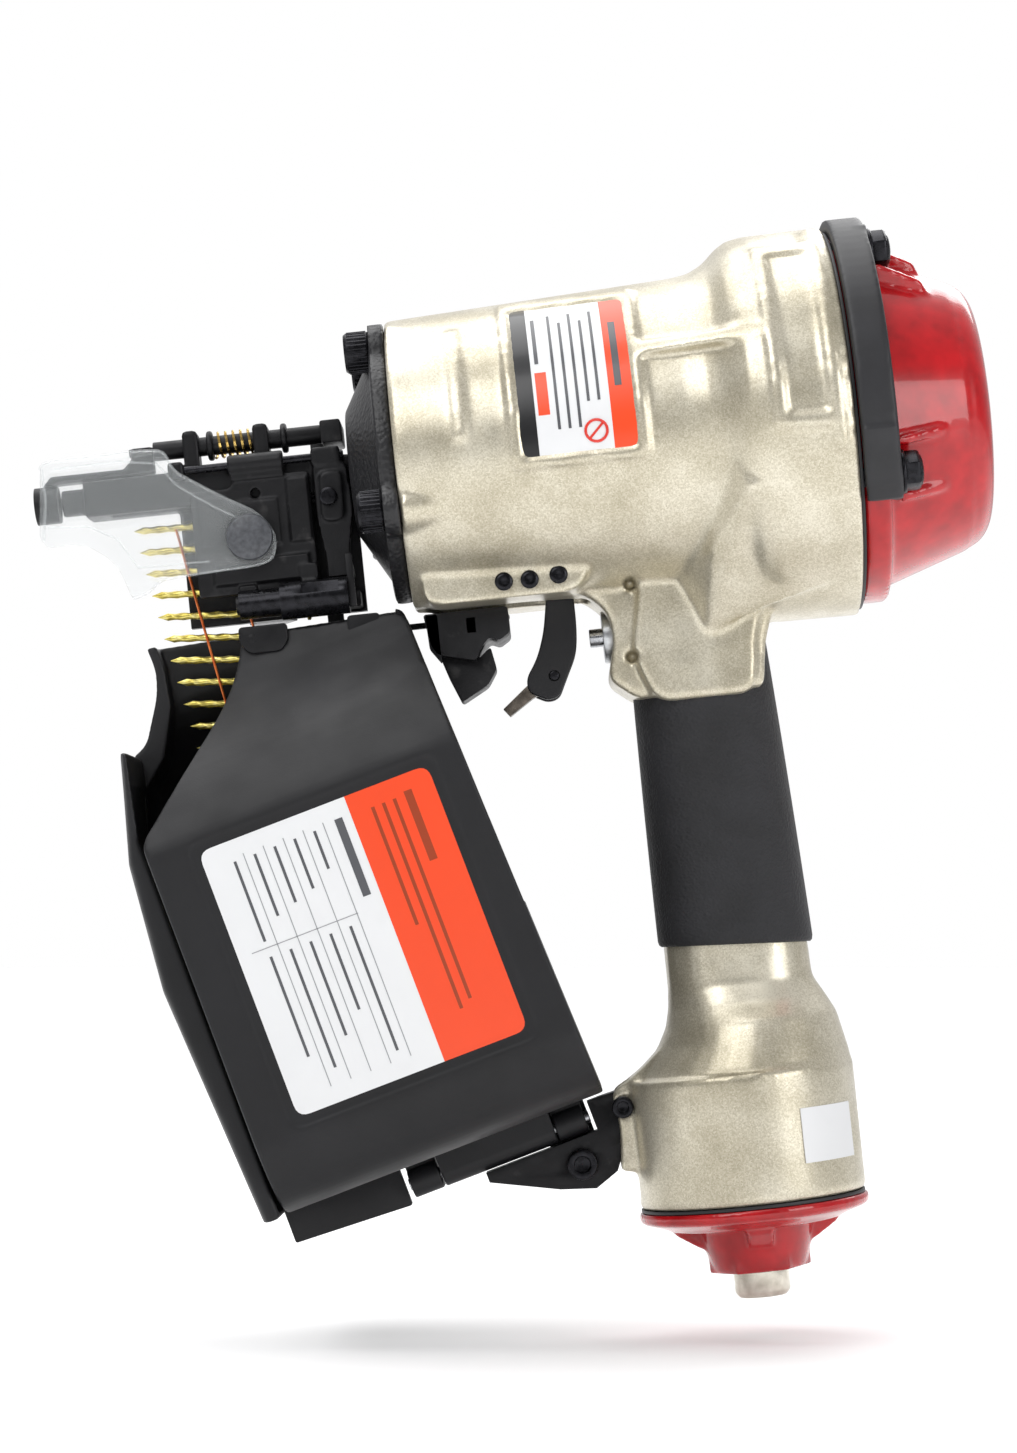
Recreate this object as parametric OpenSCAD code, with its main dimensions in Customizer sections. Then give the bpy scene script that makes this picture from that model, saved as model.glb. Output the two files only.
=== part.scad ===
// Coil roofing nailer.
// +X runs back along the driving axis from the nose tip, +Z is up with the handle hanging down,
// and -Y is the door side.
// The origin is the nose tip, where the tool meets the work.

/* [Cylinder] */
// Radius of the cylinder bore
bore_r = 29; // [28.5:0.5:29]
// Travel of the piston and driver
stroke = 83; // [70:1:84]
// Front face of the cast body
body_front = 119.5; // [119.5:0.5:120.5]
// Joint between the body and the cap
cap_joint = 263; // [262:0.5:263]

/* [Body] */
// Radius of the cast body at its front
front_r = 47.6; // [46.5:0.1:48]
// Radius of the cast body before the rear step
waist_r = 52.5; // [51:0.5:54]
// Radius of the rear of the cast body
rear_r = 63; // [62.5:0.5:63.5]

/* [Handle] */
// Middle of the grip along X
grip_x = 211; // [209:0.5:212]
// Length of the grip's oval along X
grip_l = 48; // [46:1:50]
// Width of the grip's oval along Y
grip_w = 39; // [37:1:41]
// Radius of the lower housing
end_r = 36.5; // [34:0.5:37]

/* [Magazine] */
// Tilt of the magazine
mag_tilt = 15; // [14:0.5:16]
// Outer width of the magazine cover along its roll axis
cover_l = 107; // [102:1:107]
// Depth of the magazine cover from the middle plane
cover_d = 52; // [50:1:54]
// Wall thickness of the magazine
wall = 2.6; // [2:0.1:3]

/* [Nails] */
// Spacing of the nails on the strip
nail_pitch = 7.3; // [6.8:0.1:7.6]
// Radius of a nail shank
shank_r = 1.25; // [1.1:0.05:1.35]
// Length of a nail
nail_l = 50; // [45:1:52]

/* [Hidden] */
$fn = 64;
gap = 0.05;         // assembly gap between pieces that don't move
run = 0.05;         // radial running clearance
eps = 0.01;

// Driving parts
chamber_r = 36.5;
rear_chamber_r = 50;
liner_wall = 3;
liner_x0 = 124.2;
liner_x1 = 243;
bumper_l = 15.5;
over_travel = 5.3;  // room left over the bumper at the end of the stroke
piston_x = liner_x0 + bumper_l + over_travel + stroke;
piston_l = 12;
blade_r = 3.2;
blade_x = stroke + 3;
valve_x = liner_x1 + gap;
stem_r = 16;
cap_x1 = 308.5;
cap_shoulder = 300.5;
cap_z = -2;
nose_bolts_at = [[-20, 36], [20, 36], [-39, -18], [39, -18]];
cap_bolts_at = [[-27, 50], [27, 50], [-51, -24.5], [51, -24.5]];
screw_r = 4;
head_r = 6.5;
guard_x0 = cap_joint + 1.2;
guard_l = 11.8;
cap_bolt_x = guard_x0 + guard_l + gap;

// Trigger group
slab_y = 29;
neck_y = 17;
slot_y = 7.6;
pins_at = [[149.6, -43.4], [157.8, -43.6], [167.1, -43]];
pin_r = 2.5;
lever_at = [162.5, -73.2];
lever_pin_r = 1.5;
plunger_z = -62;
plunger_r = 3;
valve_r = 8.5;
valve_grooves = [184, 200];
groove_l = 2.4;
valve_spring_x = 197.2;
valve_seat = 209.25;

// Nose group
guide_y0 = -6.5;
guide_y1 = 10;
door_y0 = -11;
door_y1 = -7;
hinge_y = -9;
hinge_z = 5.5;
hinge_r = 1.3;
rod_z = 14;
rod_r = 3.1;
guides_at = [50, 73];
guide_l = 5;
collars_at = [58.7, 83];
arm_y = 16.2;
arm_t = 2.5;
latch_z = -40.5;
latch_y = -12;
latch_x1 = 99.4;
latch_shoulder = 93;
bolt_r = 3;
stem_bolt_r = 1.4;
feed_at = [72, 20.5];
feed_r = 6;
feed_piston_z = -20;
feed_cap_z = -36.06;

// Magazine frame: its origin is the cover's lower front corner, local X runs along the roll axis
mag_at = [61, 0, -235];
coil_z = 60;
coil_r = 46;
coil_hole = 30;
label_at = [16, 27.6];
label_l = 76;
label_h = 87.6;
mag_hinge = [0, -6.5];
mag_pin_r = 2;
band_d = 44;
bracket_y0 = -4;
bracket_y1 = 6;
ear_y = bracket_y1 + gap;
ear_screw = [92, -20];
lug_screw = [169.7, -213.4];
lug_y = 9;
bracket_screw_r = 2.5;
cover_x1 = cover_l;
throat_y = 12;
end_x = 208.5;

// ---- helpers ----
module along_x(x, y = 0, z = 0) translate([x, y, z]) rotate([0, 90, 0]) children();
module along_y(x, y, z) translate([x, y, z]) rotate([-90, 0, 0]) children();
module side_plate(outline, y0, y1)
    translate([0, y1, 0]) rotate([90, 0, 0]) linear_extrude(y1 - y0) polygon(outline);
module block(low, high) translate(low) cube(high - low);
module tube(r, hole, h) difference() {
    cylinder(r = r, h = h);
    translate([0, 0, -1]) cylinder(r = hole, h = h + 2);
}
module ring(r, wire) rotate_extrude() translate([r, 0]) circle(wire, $fn = 24);
module stadium(l, w) {
    for (side = [-1, 1]) translate([side * (l - w) / 2, 0]) circle(w / 2);
    square([l - w, w], center = true);
}
module magazine_frame() translate(mag_at) rotate([0, -mag_tilt, 0]) children();

// A coil spring along local Z: a swept polyhedron of round wire
module coil_spring(r, wire, h, turns) {
    sides = 6;
    steps = turns * 20;
    points = [for (i = [0:steps]) for (k = [0:sides - 1])
        let (a = 360 * turns * i / steps, b = 360 * k / sides, q = r + wire * cos(b))
        [q * cos(a), q * sin(a), wire + (h - 2 * wire) * i / steps + wire * sin(b)]];
    skin = [for (i = [0:steps - 1]) for (k = [0:sides - 1])
        [i * sides + k, i * sides + (k + 1) % sides, (i + 1) * sides + (k + 1) % sides, (i + 1) * sides + k]];
    ends = [[for (k = [0:sides - 1]) sides - 1 - k], [for (k = [0:sides - 1]) steps * sides + k]];
    polyhedron(points, concat(skin, ends));
}

// ---- cast body ----
module body_housing() color("#cbbd9c") difference() {
    union() {
        along_x(body_front) cylinder(h = 222 - body_front, r1 = front_r, r2 = waist_r, $fn = 96);
        along_x(222 - eps, 0, 0.5) cylinder(h = 9, r1 = waist_r, r2 = rear_r, $fn = 96);
        along_x(231 - eps, 0, 0.5) cylinder(h = cap_joint - 231, r = rear_r, $fn = 96);
        for (p = nose_bolts_at) along_x(body_front, p[0], p[1]) cylinder(r = 8.2, h = 22);
        // flat slab that holds the trigger pins, and the neck behind it
        side_plate([[124, -28], [172, -28], [172, -48.6], [128, -48.6], [124, -45]], -slab_y, slab_y);
        side_plate([[165, -34], [200, -38], [231, -50], [231, -78], [186, -79.5], [180.7, -77.6],
            [179.6, -76], [183, -63], [181, -54.6], [174.5, -48.6], [165, -48.6]], -neck_y, neck_y);
        // handle core, under the grip
        translate([grip_x, 0, -192]) linear_extrude(150) stadium(42, 33);
        // lower housing with its shoulder
        translate([end_x, 0, -247]) cylinder(r = end_r, h = 50, $fn = 96);
        translate([end_x, 0, -197 - eps]) cylinder(r1 = end_r, r2 = 25, h = 18, $fn = 96);
        side_plate([[166.4, -208.4], [176, -203], [186, -194], [200, -190], [200, -236], [167, -234],
            [168.4, -220]], -lug_y, lug_y);
    }
    // pressure chambers
    along_x(123.5) cylinder(r = chamber_r, h = 120);
    along_x(228) cylinder(r = rear_chamber_r, h = 60);
    along_x(100) cylinder(r = 12, h = 40);
    // air duct through the handle, wide where the inlet filter sits
    translate([grip_x, 0, -215]) cylinder(r = 12, h = 180);
    translate([end_x, 0, -250]) cylinder(r = 30, h = 45);
    // trigger slot, pin holes, valve bore
    block([158.5, -slot_y, -60], [176.5, slot_y, -38]);
    block([100, -slot_y, -60], [159, slot_y, -46.2]);
    for (p = pins_at) along_y(p[0], -40, p[1]) cylinder(r = pin_r + gap, h = 80);
    along_x(170, 0, plunger_z) cylinder(r = valve_r + gap, h = 45);
    for (p = [[188.5, -47], [187.5, -70.5]]) along_y(p[0], -30, p[1]) cylinder(r = 2, h = 12.7);
    // screw holes
    for (p = nose_bolts_at) along_x(110, p[0], p[1]) cylinder(r = screw_r + gap, h = 30);
    for (p = cap_bolts_at) along_x(240, p[0], p[1]) cylinder(r = screw_r + gap, h = 30);
    along_y(lug_screw[0], -20, lug_screw[1]) cylinder(r = bracket_screw_r + gap, h = 40);
    // slot for the magazine bracket
    block([150, bracket_y0 - gap, -245], [172.7, bracket_y1 + gap, -200]);
}

module handle_grip() color("#1d1d20") difference() {
    intersection() {
        translate([grip_x, 0, -178]) linear_extrude(120) stadium(grip_l, grip_w);
        side_plate([[180, -80], [188, -79.6], [196, -79.7], [240, -79], [240, -167], [180, -163.5]], -30, 30);
    }
    translate([grip_x, 0, -200]) linear_extrude(160) stadium(42 + 2 * gap, 33 + 2 * gap);
}

// ---- nose ----
module nose_body() color("#26262a") difference() {
    union() {
        along_x(113) cylinder(r = 44, h = body_front - gap - 113, $fn = 96);
        along_x(104) cylinder(r1 = 21, r2 = 32, h = 9.01);
        for (p = nose_bolts_at) along_x(114.5, p[0], p[1]) cylinder(r = 8.2, h = body_front - gap - 114.5);
        block([16.4, guide_y0, -6], [105, guide_y1, 6]);
        along_x(8.6) cylinder(r = 4.4, h = 8);
        // feed wall behind the nails
        block([46, 5.2, -44.6], [105, guide_y1, -5]);
        // lugs that carry the door hinge rod
        block([45, -11.5, 2.6], [50, guide_y0 + 1, 8.4]);
        block([91.5, -11.5, 2.6], [101, guide_y0 + 1, 8.4]);
        // strap down the door side, with its foot
        block([91.6, -11, -43.6], [103, -7, 3]);
        block([91.6, -11, -43.6], [103, 6, -38]);
        // guides for the contact rod
        for (x = guides_at) block([x, -5, 5.5], [x + guide_l, 5, 19]);
    }
    along_x(0) cylinder(r = blade_r + run, h = 110);
    along_x(103) cylinder(r = 8, h = 30);
    // feed slot for the nails
    block([24, -4.6, -80], [90, 5.2, 0]);
    block([63, 4, -34], [81, 12, -8]);
    along_x(40, hinge_y, hinge_z) cylinder(r = hinge_r + gap, h = 70);
    along_x(64, hinge_y, hinge_z) cylinder(r = 3.7, h = 18.8);
    along_x(40, 0, rod_z) cylinder(r = rod_r + run, h = 60);
    // room for the rod block at the end of its travel, and for the latch barrel
    block([102.4, -4.4, 8.2], [112, 19.6, 20]);
    along_x(90.7, latch_y, latch_z) cylinder(r = 6.4, h = 12.6);
    for (p = nose_bolts_at) along_x(110, p[0], p[1]) cylinder(r = screw_r + gap, h = 30);
    for (p = nose_bolts_at) along_x(100, p[0], p[1]) cylinder(r = head_r + 0.4, h = 14.5);
}

module socket_screw(h, head_h) {
    difference() {
        translate([0, 0, -head_h]) cylinder(r = head_r, h = head_h + eps, $fn = 48);
        translate([0, 0, -head_h - 1]) cylinder(r = 3.5, h = 5, $fn = 6);
    }
    cylinder(r = screw_r, h = h);
}

module nose_bolts() color("#2c2c2e") for (p = nose_bolts_at) along_x(114.4, p[0], p[1]) socket_screw(22, 8);

// ---- cylinder and driver ----
module cylinder_liner() color("#b9bcc0") difference() {
    union() {
        along_x(liner_x0) cylinder(r = bore_r + liner_wall, h = liner_x1 - liner_x0);
        along_x(228.1) cylinder(r = 40, h = 5);
    }
    along_x(100) cylinder(r = bore_r, h = 200);
    // ports that let air return under the piston
    for (a = [0:60:300]) rotate([a, 0, 0]) translate([146, 0, 20]) cylinder(r = 2, h = 20, $fn = 24);
}

module cylinder_seals() color("#151517") for (x = [132, 160, 222]) along_x(x) ring(34.25, 2.15);

module bumper() color("#3a3a3c") along_x(liner_x0) tube(bore_r - 0.1, 9, bumper_l);

module piston() color("#a9acb0") difference() {
    along_x(piston_x) cylinder(r = bore_r - 0.08, h = piston_l);
    along_x(piston_x + 4) tube(bore_r + 1, bore_r - 2.5, 4);
    along_x(piston_x - 1) cylinder(r = blade_r + 1 + gap, h = piston_l + 2);
    along_x(piston_x + 8) cylinder(r = 20, h = 10);
}

module piston_ring() color("#7a6a50")
    along_x(piston_x + 4 + gap) tube(bore_r - 0.04, bore_r - 2.45, 4 - 2 * gap);

module driver_blade() color("#8d9095") {
    along_x(blade_x) cylinder(r = blade_r, h = piston_x - blade_x + eps);
    along_x(piston_x) cylinder(r = blade_r + 1, h = 8);
    along_x(piston_x + 8 + gap) cylinder(r = 7, h = 3, $fn = 6);
}

// ---- head valve and cap ----
module head_valve() color("#c9c9c4") difference() {
    union() {
        along_x(valve_x + 3) cylinder(r = 38, h = 5);
        along_x(valve_x + 3) cylinder(r = stem_r, h = 26);
    }
    along_x(valve_x + 1) cylinder(r = 10, h = 40);
}
module head_valve_seal() color("#151517") along_x(valve_x) tube(36, 26, 3 - gap);
module head_valve_spring() color("#b0b3b8") along_x(valve_x + 8.1) coil_spring(22, 1.3, 14, 3);

module cap_gasket() color("#1a1a1c") difference() {
    along_x(cap_joint + gap) tube(61.5, rear_chamber_r, 1);
    for (p = cap_bolts_at) along_x(250, p[0], p[1]) cylinder(r = screw_r + gap, h = 30);
}

module cylinder_cap() color("#b3121a") difference() {
    union() {
        along_x(cap_joint + 1.1) cylinder(r = 60, h = 8.9, $fn = 96);
        along_x(272, 0, cap_z) cylinder(r1 = 53.5, r2 = 44.2, h = cap_shoulder - 272 + eps, $fn = 96);
        along_x(cap_shoulder, 0, cap_z) cylinder(r1 = 44.2, r2 = 34, h = cap_x1 - cap_shoulder, $fn = 96);
    }
    // spot faces that clear the bolt heads
    for (p = cap_bolts_at) along_x(273, p[0], p[1]) cylinder(r = 7.8, h = 20);
    difference() {
        along_x(260) cylinder(r1 = 46, r2 = 41.5, h = 38);
        along_x(266) cylinder(r = 24, h = 40);
    }
    along_x(260) cylinder(r = stem_r + run, h = 30);
    along_x(285) cylinder(r = 4, h = 30);
    for (p = cap_bolts_at) along_x(250, p[0], p[1]) cylinder(r = screw_r + gap, h = 40);
}

module cap_guard() color("#17171a") difference() {
    union() {
        along_x(guard_x0) cylinder(r = 65.5, h = guard_l, $fn = 96);
        for (p = [cap_bolts_at[2], cap_bolts_at[3]])
            along_x(guard_x0, p[0], p[1]) cylinder(r = 10, h = guard_l);
    }
    along_x(cap_joint) cylinder(r = 60 + gap, h = 10.2, $fn = 96);
    along_x(cap_joint) cylinder(r = 54.5, h = 20, $fn = 96);
    block([250, -80, -80], [290, 80, -34]);
    block([250, -46, -80], [290, 46, 0]);
    for (p = cap_bolts_at) along_x(250, p[0], p[1]) cylinder(r = screw_r + gap, h = 40);
}

module cap_bolts() color("#1a1a1c") for (p = cap_bolts_at) along_x(cap_bolt_x, p[0], p[1]) {
    translate([0, 0, -30]) cylinder(r = screw_r, h = 30 + eps);
    cylinder(r = 7.2, h = 1.4, $fn = 48);
    translate([0, 0, 1.4 - eps]) cylinder(r = 6.8, h = 6, $fn = 6);
}

// ---- trigger and its valve ----
module trigger_pins() color("#202022") for (p = pins_at) along_y(p[0], -slab_y - 1.2, p[1])
    cylinder(r = pin_r, h = 2 * slab_y + 2.4);

module trigger() color("#1c1c1f") difference() {
    union() {
        side_plate([[162.8, -43], [161.4, -52.8], [160.6, -58], [158, -66.4], [153.6, -73.1], [154.8, -77.3],
            [160.8, -80.8], [163.8, -79.8], [170.6, -67.5], [171.3, -60.1], [171.4, -43]], -7, 7);
        along_y(pins_at[2][0], -7, pins_at[2][1]) cylinder(r = 4.3, h = 14);
    }
    along_y(pins_at[2][0], -10, pins_at[2][1]) cylinder(r = pin_r + run, h = 20);
    side_plate([[164, -49.5], [163.2, -59], [156, -69.4], [150, -72], [150, -90], [175, -82], [178, -49.5]],
        -3.6, 3.6);
    along_y(lever_at[0], -10, lever_at[1]) cylinder(r = lever_pin_r + gap, h = 20);
}

module lever_pin() color("#8f9094")
    along_y(lever_at[0], -7.6, lever_at[1]) cylinder(r = lever_pin_r, h = 15.2);

module contact_lever() color("#55504a") difference() {
    union() {
        side_plate([[145, -82], [147, -84.6], [155, -79.4], [164, -76], [170.4, -62], [171.2, -57.5],
            [168.8, -57], [161, -70], [153, -75.6]], -3, 3);
        along_y(lever_at[0], -3, lever_at[1]) cylinder(r = 3.2, h = 6);
    }
    along_y(lever_at[0], -10, lever_at[1]) cylinder(r = lever_pin_r + run, h = 20);
}

module valve_housing() color("#c8c8c4") difference() {
    along_x(179.5, 0, plunger_z) cylinder(r = valve_r, h = 33);
    along_x(170, 0, plunger_z) cylinder(r = plunger_r + run, h = 29);
    // spring chamber, closed by a wall with an air hole that the spring bears on
    along_x(194, 0, plunger_z) cylinder(r = 5, h = valve_seat - 194);
    along_x(200, 0, plunger_z) cylinder(r = 2, h = 20);
    for (x = valve_grooves) along_x(x, 0, plunger_z) tube(valve_r + 2, valve_r - 1.6, groove_l);
}
module valve_plunger() color("#9ea1a6") {
    along_x(175.2, 0, plunger_z) cylinder(r = plunger_r, h = 20);
    along_x(195, 0, plunger_z) cylinder(r = 4.6, h = 2);
}
module valve_spring() color("#b0b3b8") along_x(valve_spring_x, 0, plunger_z)
    coil_spring(3.4, 0.5, valve_seat - gap - valve_spring_x, 5);
module valve_seals() color("#151517") for (x = valve_grooves)
    along_x(x + groove_l / 2, 0, plunger_z) ring(valve_r - 0.8, 0.75);

// ---- contact arm ----
module contact_foot() color("#232326") difference() {
    union() {
        along_x(0) cylinder(r = 6.2, h = 7.8);
        block([2, -4, 4], [38, 4, 9.2]);
        block([32, -3.4, 6.3], [40, 3.4, 15.6]);
    }
    along_x(-1) cylinder(r = 4.5, h = 40);
    block([8, -7, -7], [45, 7, 6.3]);
    block([8.1, -3, 6], [30, 3, 7]);
}
module contact_arm_upper() color("#2b2b2e") {
    along_x(40.05, 0, rod_z) cylinder(r = rod_r, h = 55);
    for (x = collars_at) along_x(x - 1, 0, rod_z) cylinder(r = 4.9, h = 2);
    block([95, -4, 10.6], [101.8, arm_y - gap, 18]);
}
module contact_arm_lower() color("#232326") {
    // strap on the hidden side, from the rod block down and back under the body
    side_plate([[90, 18], [101, 18], [101, 11], [95.6, 9], [95.6, -49.4], [150, -49.4], [150, -51.4],
        [92, -51.4], [90, -50]], arm_y, arm_y + arm_t);
    side_plate([[122, -49.5], [149.9, -49.5], [149.9, -58], [143, -62], [138, -66], [126, -63],
        [124, -60]], -12, arm_y + arm_t - eps);
    side_plate([[126, -63], [138, -66], [143, -62], [144.4, -69], [141, -74], [132, -79],
        [128.5, -70]], -8, 8);
}
module contact_spring() color("#b0b3b8") let (x0 = collars_at[0] + 1 + gap)
    along_x(x0, 0, rod_z) coil_spring(4.1, 0.45, guides_at[1] - gap - x0, 5);

// ---- nose door, latch, visor ----
module nose_door() color("#232326") difference() {
    union() {
        block([51, door_y0, -37], [90.5, door_y1, 1.5]);
        along_x(64.4, hinge_y, hinge_z) cylinder(r = 3.4, h = 18);
        block([64.4, hinge_y - 2, 0], [82.4, hinge_y + 2, 4]);
        block([56, door_y0 - 1.6, -34], [88, door_y0 + eps, -24]);
    }
    along_x(40, hinge_y, hinge_z) cylinder(r = hinge_r + run, h = 70);
    along_y(69.6, -20, -19) cylinder(r = 2.1, h = 20);
    block([60, latch_y - 8, -50], [91, latch_y + 6.1, -34.4]);
}
module door_hinge_pin() color("#8d9095") along_x(45, hinge_y, hinge_z) cylinder(r = hinge_r, h = 57);
module latch_barrel() color("#2b2b2e") difference() {
    union() {
        along_x(64, latch_y, latch_z) cylinder(r = 4.6, h = 13.5);
        along_x(77.4, latch_y, latch_z) cylinder(r = 6, h = latch_x1 - 77.4);
    }
    along_x(60, latch_y, latch_z) cylinder(r = bolt_r + run, h = latch_shoulder - 60);
    along_x(60, latch_y, latch_z) cylinder(r = stem_bolt_r + run, h = 60);
    // window over the spring
    block([84.5, latch_y - 10, latch_z + 1.4], [96.6, latch_y - 3.6, latch_z + 5]);
}
module latch_lever() color("#38383b") {
    along_x(63, latch_y, latch_z) cylinder(r = bolt_r, h = 15);
    along_x(78 - eps, latch_y, latch_z) cylinder(r = stem_bolt_r, h = latch_x1 + 2.2 - 78);
    block([latch_x1 + gap, latch_y - 2.2, latch_z - 4], [latch_x1 + 2.2, door_y0 - 0.3, latch_z + 13]);
}
module latch_spring() color("#b98d3c")
    along_x(78 + gap, latch_y, latch_z) coil_spring(2.2, 0.4, latch_shoulder - 78 - 2 * gap, 6);

module visor() color("#dfe8ea", 0.4) difference() {
    side_plate([[4.2, 11.6], [8.3, 12.8], [35.8, 13], [45.2, 12], [47, 5], [73.2, -11.6], [78, -20],
        [77.2, -26], [72.6, -27.6], [55, -29], [39.5, -30], [36, -33.4], [30, -35.6], [26, -22.6],
        [16, -15.3], [4, -15.6], [1.8, -12]], -14.8, -12.8);
    along_y(69.6, -20, -19) cylinder(r = 2.1, h = 20);
}
module visor_disc() color("#4b4d50") {
    along_y(69.6, -17, -19) cylinder(r = 7.6, h = 2.15);
    along_y(69.6, -15, -19) cylinder(r = 2, h = 7.8);
}

// ---- feeder ----
module feeder_housing() color("#232326") difference() {
    union() {
        translate([feed_at[0], feed_at[1], -40]) cylinder(r = 9.5, h = 38);
        block([feed_at[0] - 9.5, guide_y1 + gap, -40], [feed_at[0] + 9.5, feed_at[1], -2]);
    }
    translate([feed_at[0], feed_at[1], -41]) cylinder(r = feed_r + run, h = 36);
    block([feed_at[0] - 4.6, 0, -34], [feed_at[0] + 4.6, feed_at[1], -8]);
}
module feed_piston() color("#a9acb0") {
    translate([feed_at[0], feed_at[1], feed_piston_z]) cylinder(r = feed_r, h = 12);
    block([feed_at[0] - 4, 11.5, feed_piston_z], [feed_at[0] + 4, feed_at[1], feed_piston_z + 8]);
}
module feed_pawl() color("#8d9095")
    block([feed_at[0] - 4, 4.9, feed_piston_z + 1], [feed_at[0] + 4, 11.45, feed_piston_z + 3.6]);
// Below the piston, so that it pushes the strip up
module feed_spring() color("#b0b3b8") translate([feed_at[0], feed_at[1], feed_cap_z + gap])
    coil_spring(4.4, 0.5, feed_piston_z - feed_cap_z - 2 * gap, 6);
module feed_cap() color("#2b2b2e") {
    translate([feed_at[0], feed_at[1], -44]) cylinder(r = 8, h = 4 - gap, $fn = 6);
    translate([feed_at[0], feed_at[1], -40 - gap - eps])
        cylinder(r = feed_r, h = feed_cap_z + 40 + gap + eps);
}

// ---- magazine, in its own tilted frame ----
// Half outline across the roll axis, t inside the outer face: y is the depth, z is up the magazine
function shell(d, t) = [[0, t], [d - 16, t], [d - 5 - t * 0.6, 6 + t * 0.7], [d - t, 20 + t * 0.2],
    [d - t, 122 - t * 0.3], [d - 12 - t * 0.9, 140 - t * 0.6], [throat_y - t, 166 - t * 0.5],
    [throat_y - t, 210], [0, 210]];
module across(x0, x1) translate([x0, 0, 0]) rotate([90, 0, 90]) linear_extrude(x1 - x0) children();

// Outline of the base's front wall, t behind its outer face
function front_wall(t) = [[t - 7.4, 0], [t - 11.5, 79], [t - 7.6, 120], [t - 1, 143]];

module magazine_base() color("#1e1e21") magazine_frame() difference() {
    union() {
        intersection() {
            across(-18, cover_x1 - 1) polygon(shell(cover_d, 0));
            side_plate(concat(front_wall(0), [[2.4, 155], [8, 157], [17, 171], [19.5, 179], [19, 187],
                [102, 169.4], [cover_x1, 0]]), 0.4, 60);
        }
        // band that wraps round to the door side
        side_plate(concat(front_wall(0), [[2.4, 155], [5.6, 154], [-0.6, 126], [-0.6, 0]]), -band_d, 6);
        // knuckles that hold the hinge pin
        for (x = [38, 88]) {
            translate([x, mag_hinge[0], mag_hinge[1]]) rotate([0, 90, 0]) cylinder(r = 4.6, h = 10);
            translate([x, 0.4, mag_hinge[1] - 4.5]) cube([10, 7.6, 12]);
        }
        // strip along the foot of the base
        side_plate([[-3.6, 1], [-3.6, -11], [36, -13], [36, 1]], 0.4, 6);
        // ear that the bracket is screwed to
        side_plate([[84, 1], [84, -24], [99.4, -26], [99.4, 1]], ear_y, ear_y + 3);
    }
    // room for the coil and the way up to the nose
    intersection() {
        across(-18, cover_x1 + 5) polygon(shell(cover_d, wall));
        side_plate(concat(front_wall(3.4), [[12, 151], [20, 166], [22.4, 179], [22.4, 220], [99, 220],
            [99, 172], [cover_x1 - 1 - wall, 10], [cover_x1 - 1 - wall, -5]]), -5, 60);
    }
    side_plate(concat([[-4, wall]], [for (q = front_wall(3)) if (q[1] > 10) q], [[9, 143], [9, wall]]),
        wall - band_d, 7);
    translate([37, mag_hinge[0], mag_hinge[1]]) rotate([0, 90, 0]) cylinder(r = mag_pin_r + gap, h = 70);
    // holes for the bracket screw and the platform post
    along_y(ear_screw[0], 0, ear_screw[1]) cylinder(r = bracket_screw_r + gap, h = 20);
    translate([90, 0, coil_z]) rotate([0, 90, 0]) cylinder(r = 4 + gap, h = 40);
}

module magazine_cover() color("#1b1b1e") magazine_frame() difference() {
    union() {
        intersection() {
            mirror([0, 1, 0]) across(0, cover_x1) polygon(shell(cover_d, 0));
            side_plate([[0, 0], [0, 124.5], [35.4, 155.4], [43.9, 165], [50.4, 178], [102.3, 166.2],
                [cover_x1, 0]], -60, -0.4);
        }
        // hinge barrel
        translate([48.5, -5, -6.5]) cube([39, 5, 7]);
        translate([48.5, mag_hinge[0], mag_hinge[1]]) rotate([0, 90, 0]) cylinder(r = 4.6, h = 39);
    }
    mirror([0, 1, 0]) across(-9, cover_x1 - wall) polygon(shell(cover_d, wall));
    translate([37, mag_hinge[0], mag_hinge[1]]) rotate([0, 90, 0]) cylinder(r = mag_pin_r + run, h = 70);
    // shallow recess for the label
    translate([label_at[0] - 0.5, -cover_d - 1, label_at[1] - 0.5]) cube([label_l + 1, 1.6, label_h + 1]);
}

module magazine_label() color("#f4f4f2") magazine_frame()
    translate([label_at[0], -cover_d - 0.1, label_at[1]]) cube([label_l, 0.65, label_h]);

module magazine_hinge_pin() color("#8d9095") magazine_frame()
    translate([37.5, mag_hinge[0], mag_hinge[1]]) rotate([0, 90, 0]) cylinder(r = mag_pin_r, h = 62);

module platform_post() color("#8d9095") magazine_frame()
    translate([30, 0, coil_z]) rotate([0, 90, 0]) cylinder(r = 4, h = cover_x1 - wall - 0.3 - 30);

module coil_platform() color("#2a2a2d") magazine_frame() difference() {
    translate([84, 0, coil_z]) rotate([0, 90, 0]) cylinder(r = 47, h = 2.4);
    translate([80, 0, coil_z]) rotate([0, 90, 0]) cylinder(r = 4 + run, h = 30);
}
module nail_coil() color("#b0a25a") magazine_frame()
    translate([84 - nail_l - gap, 0, coil_z]) rotate([0, 90, 0]) tube(coil_r, coil_hole, nail_l);

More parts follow.
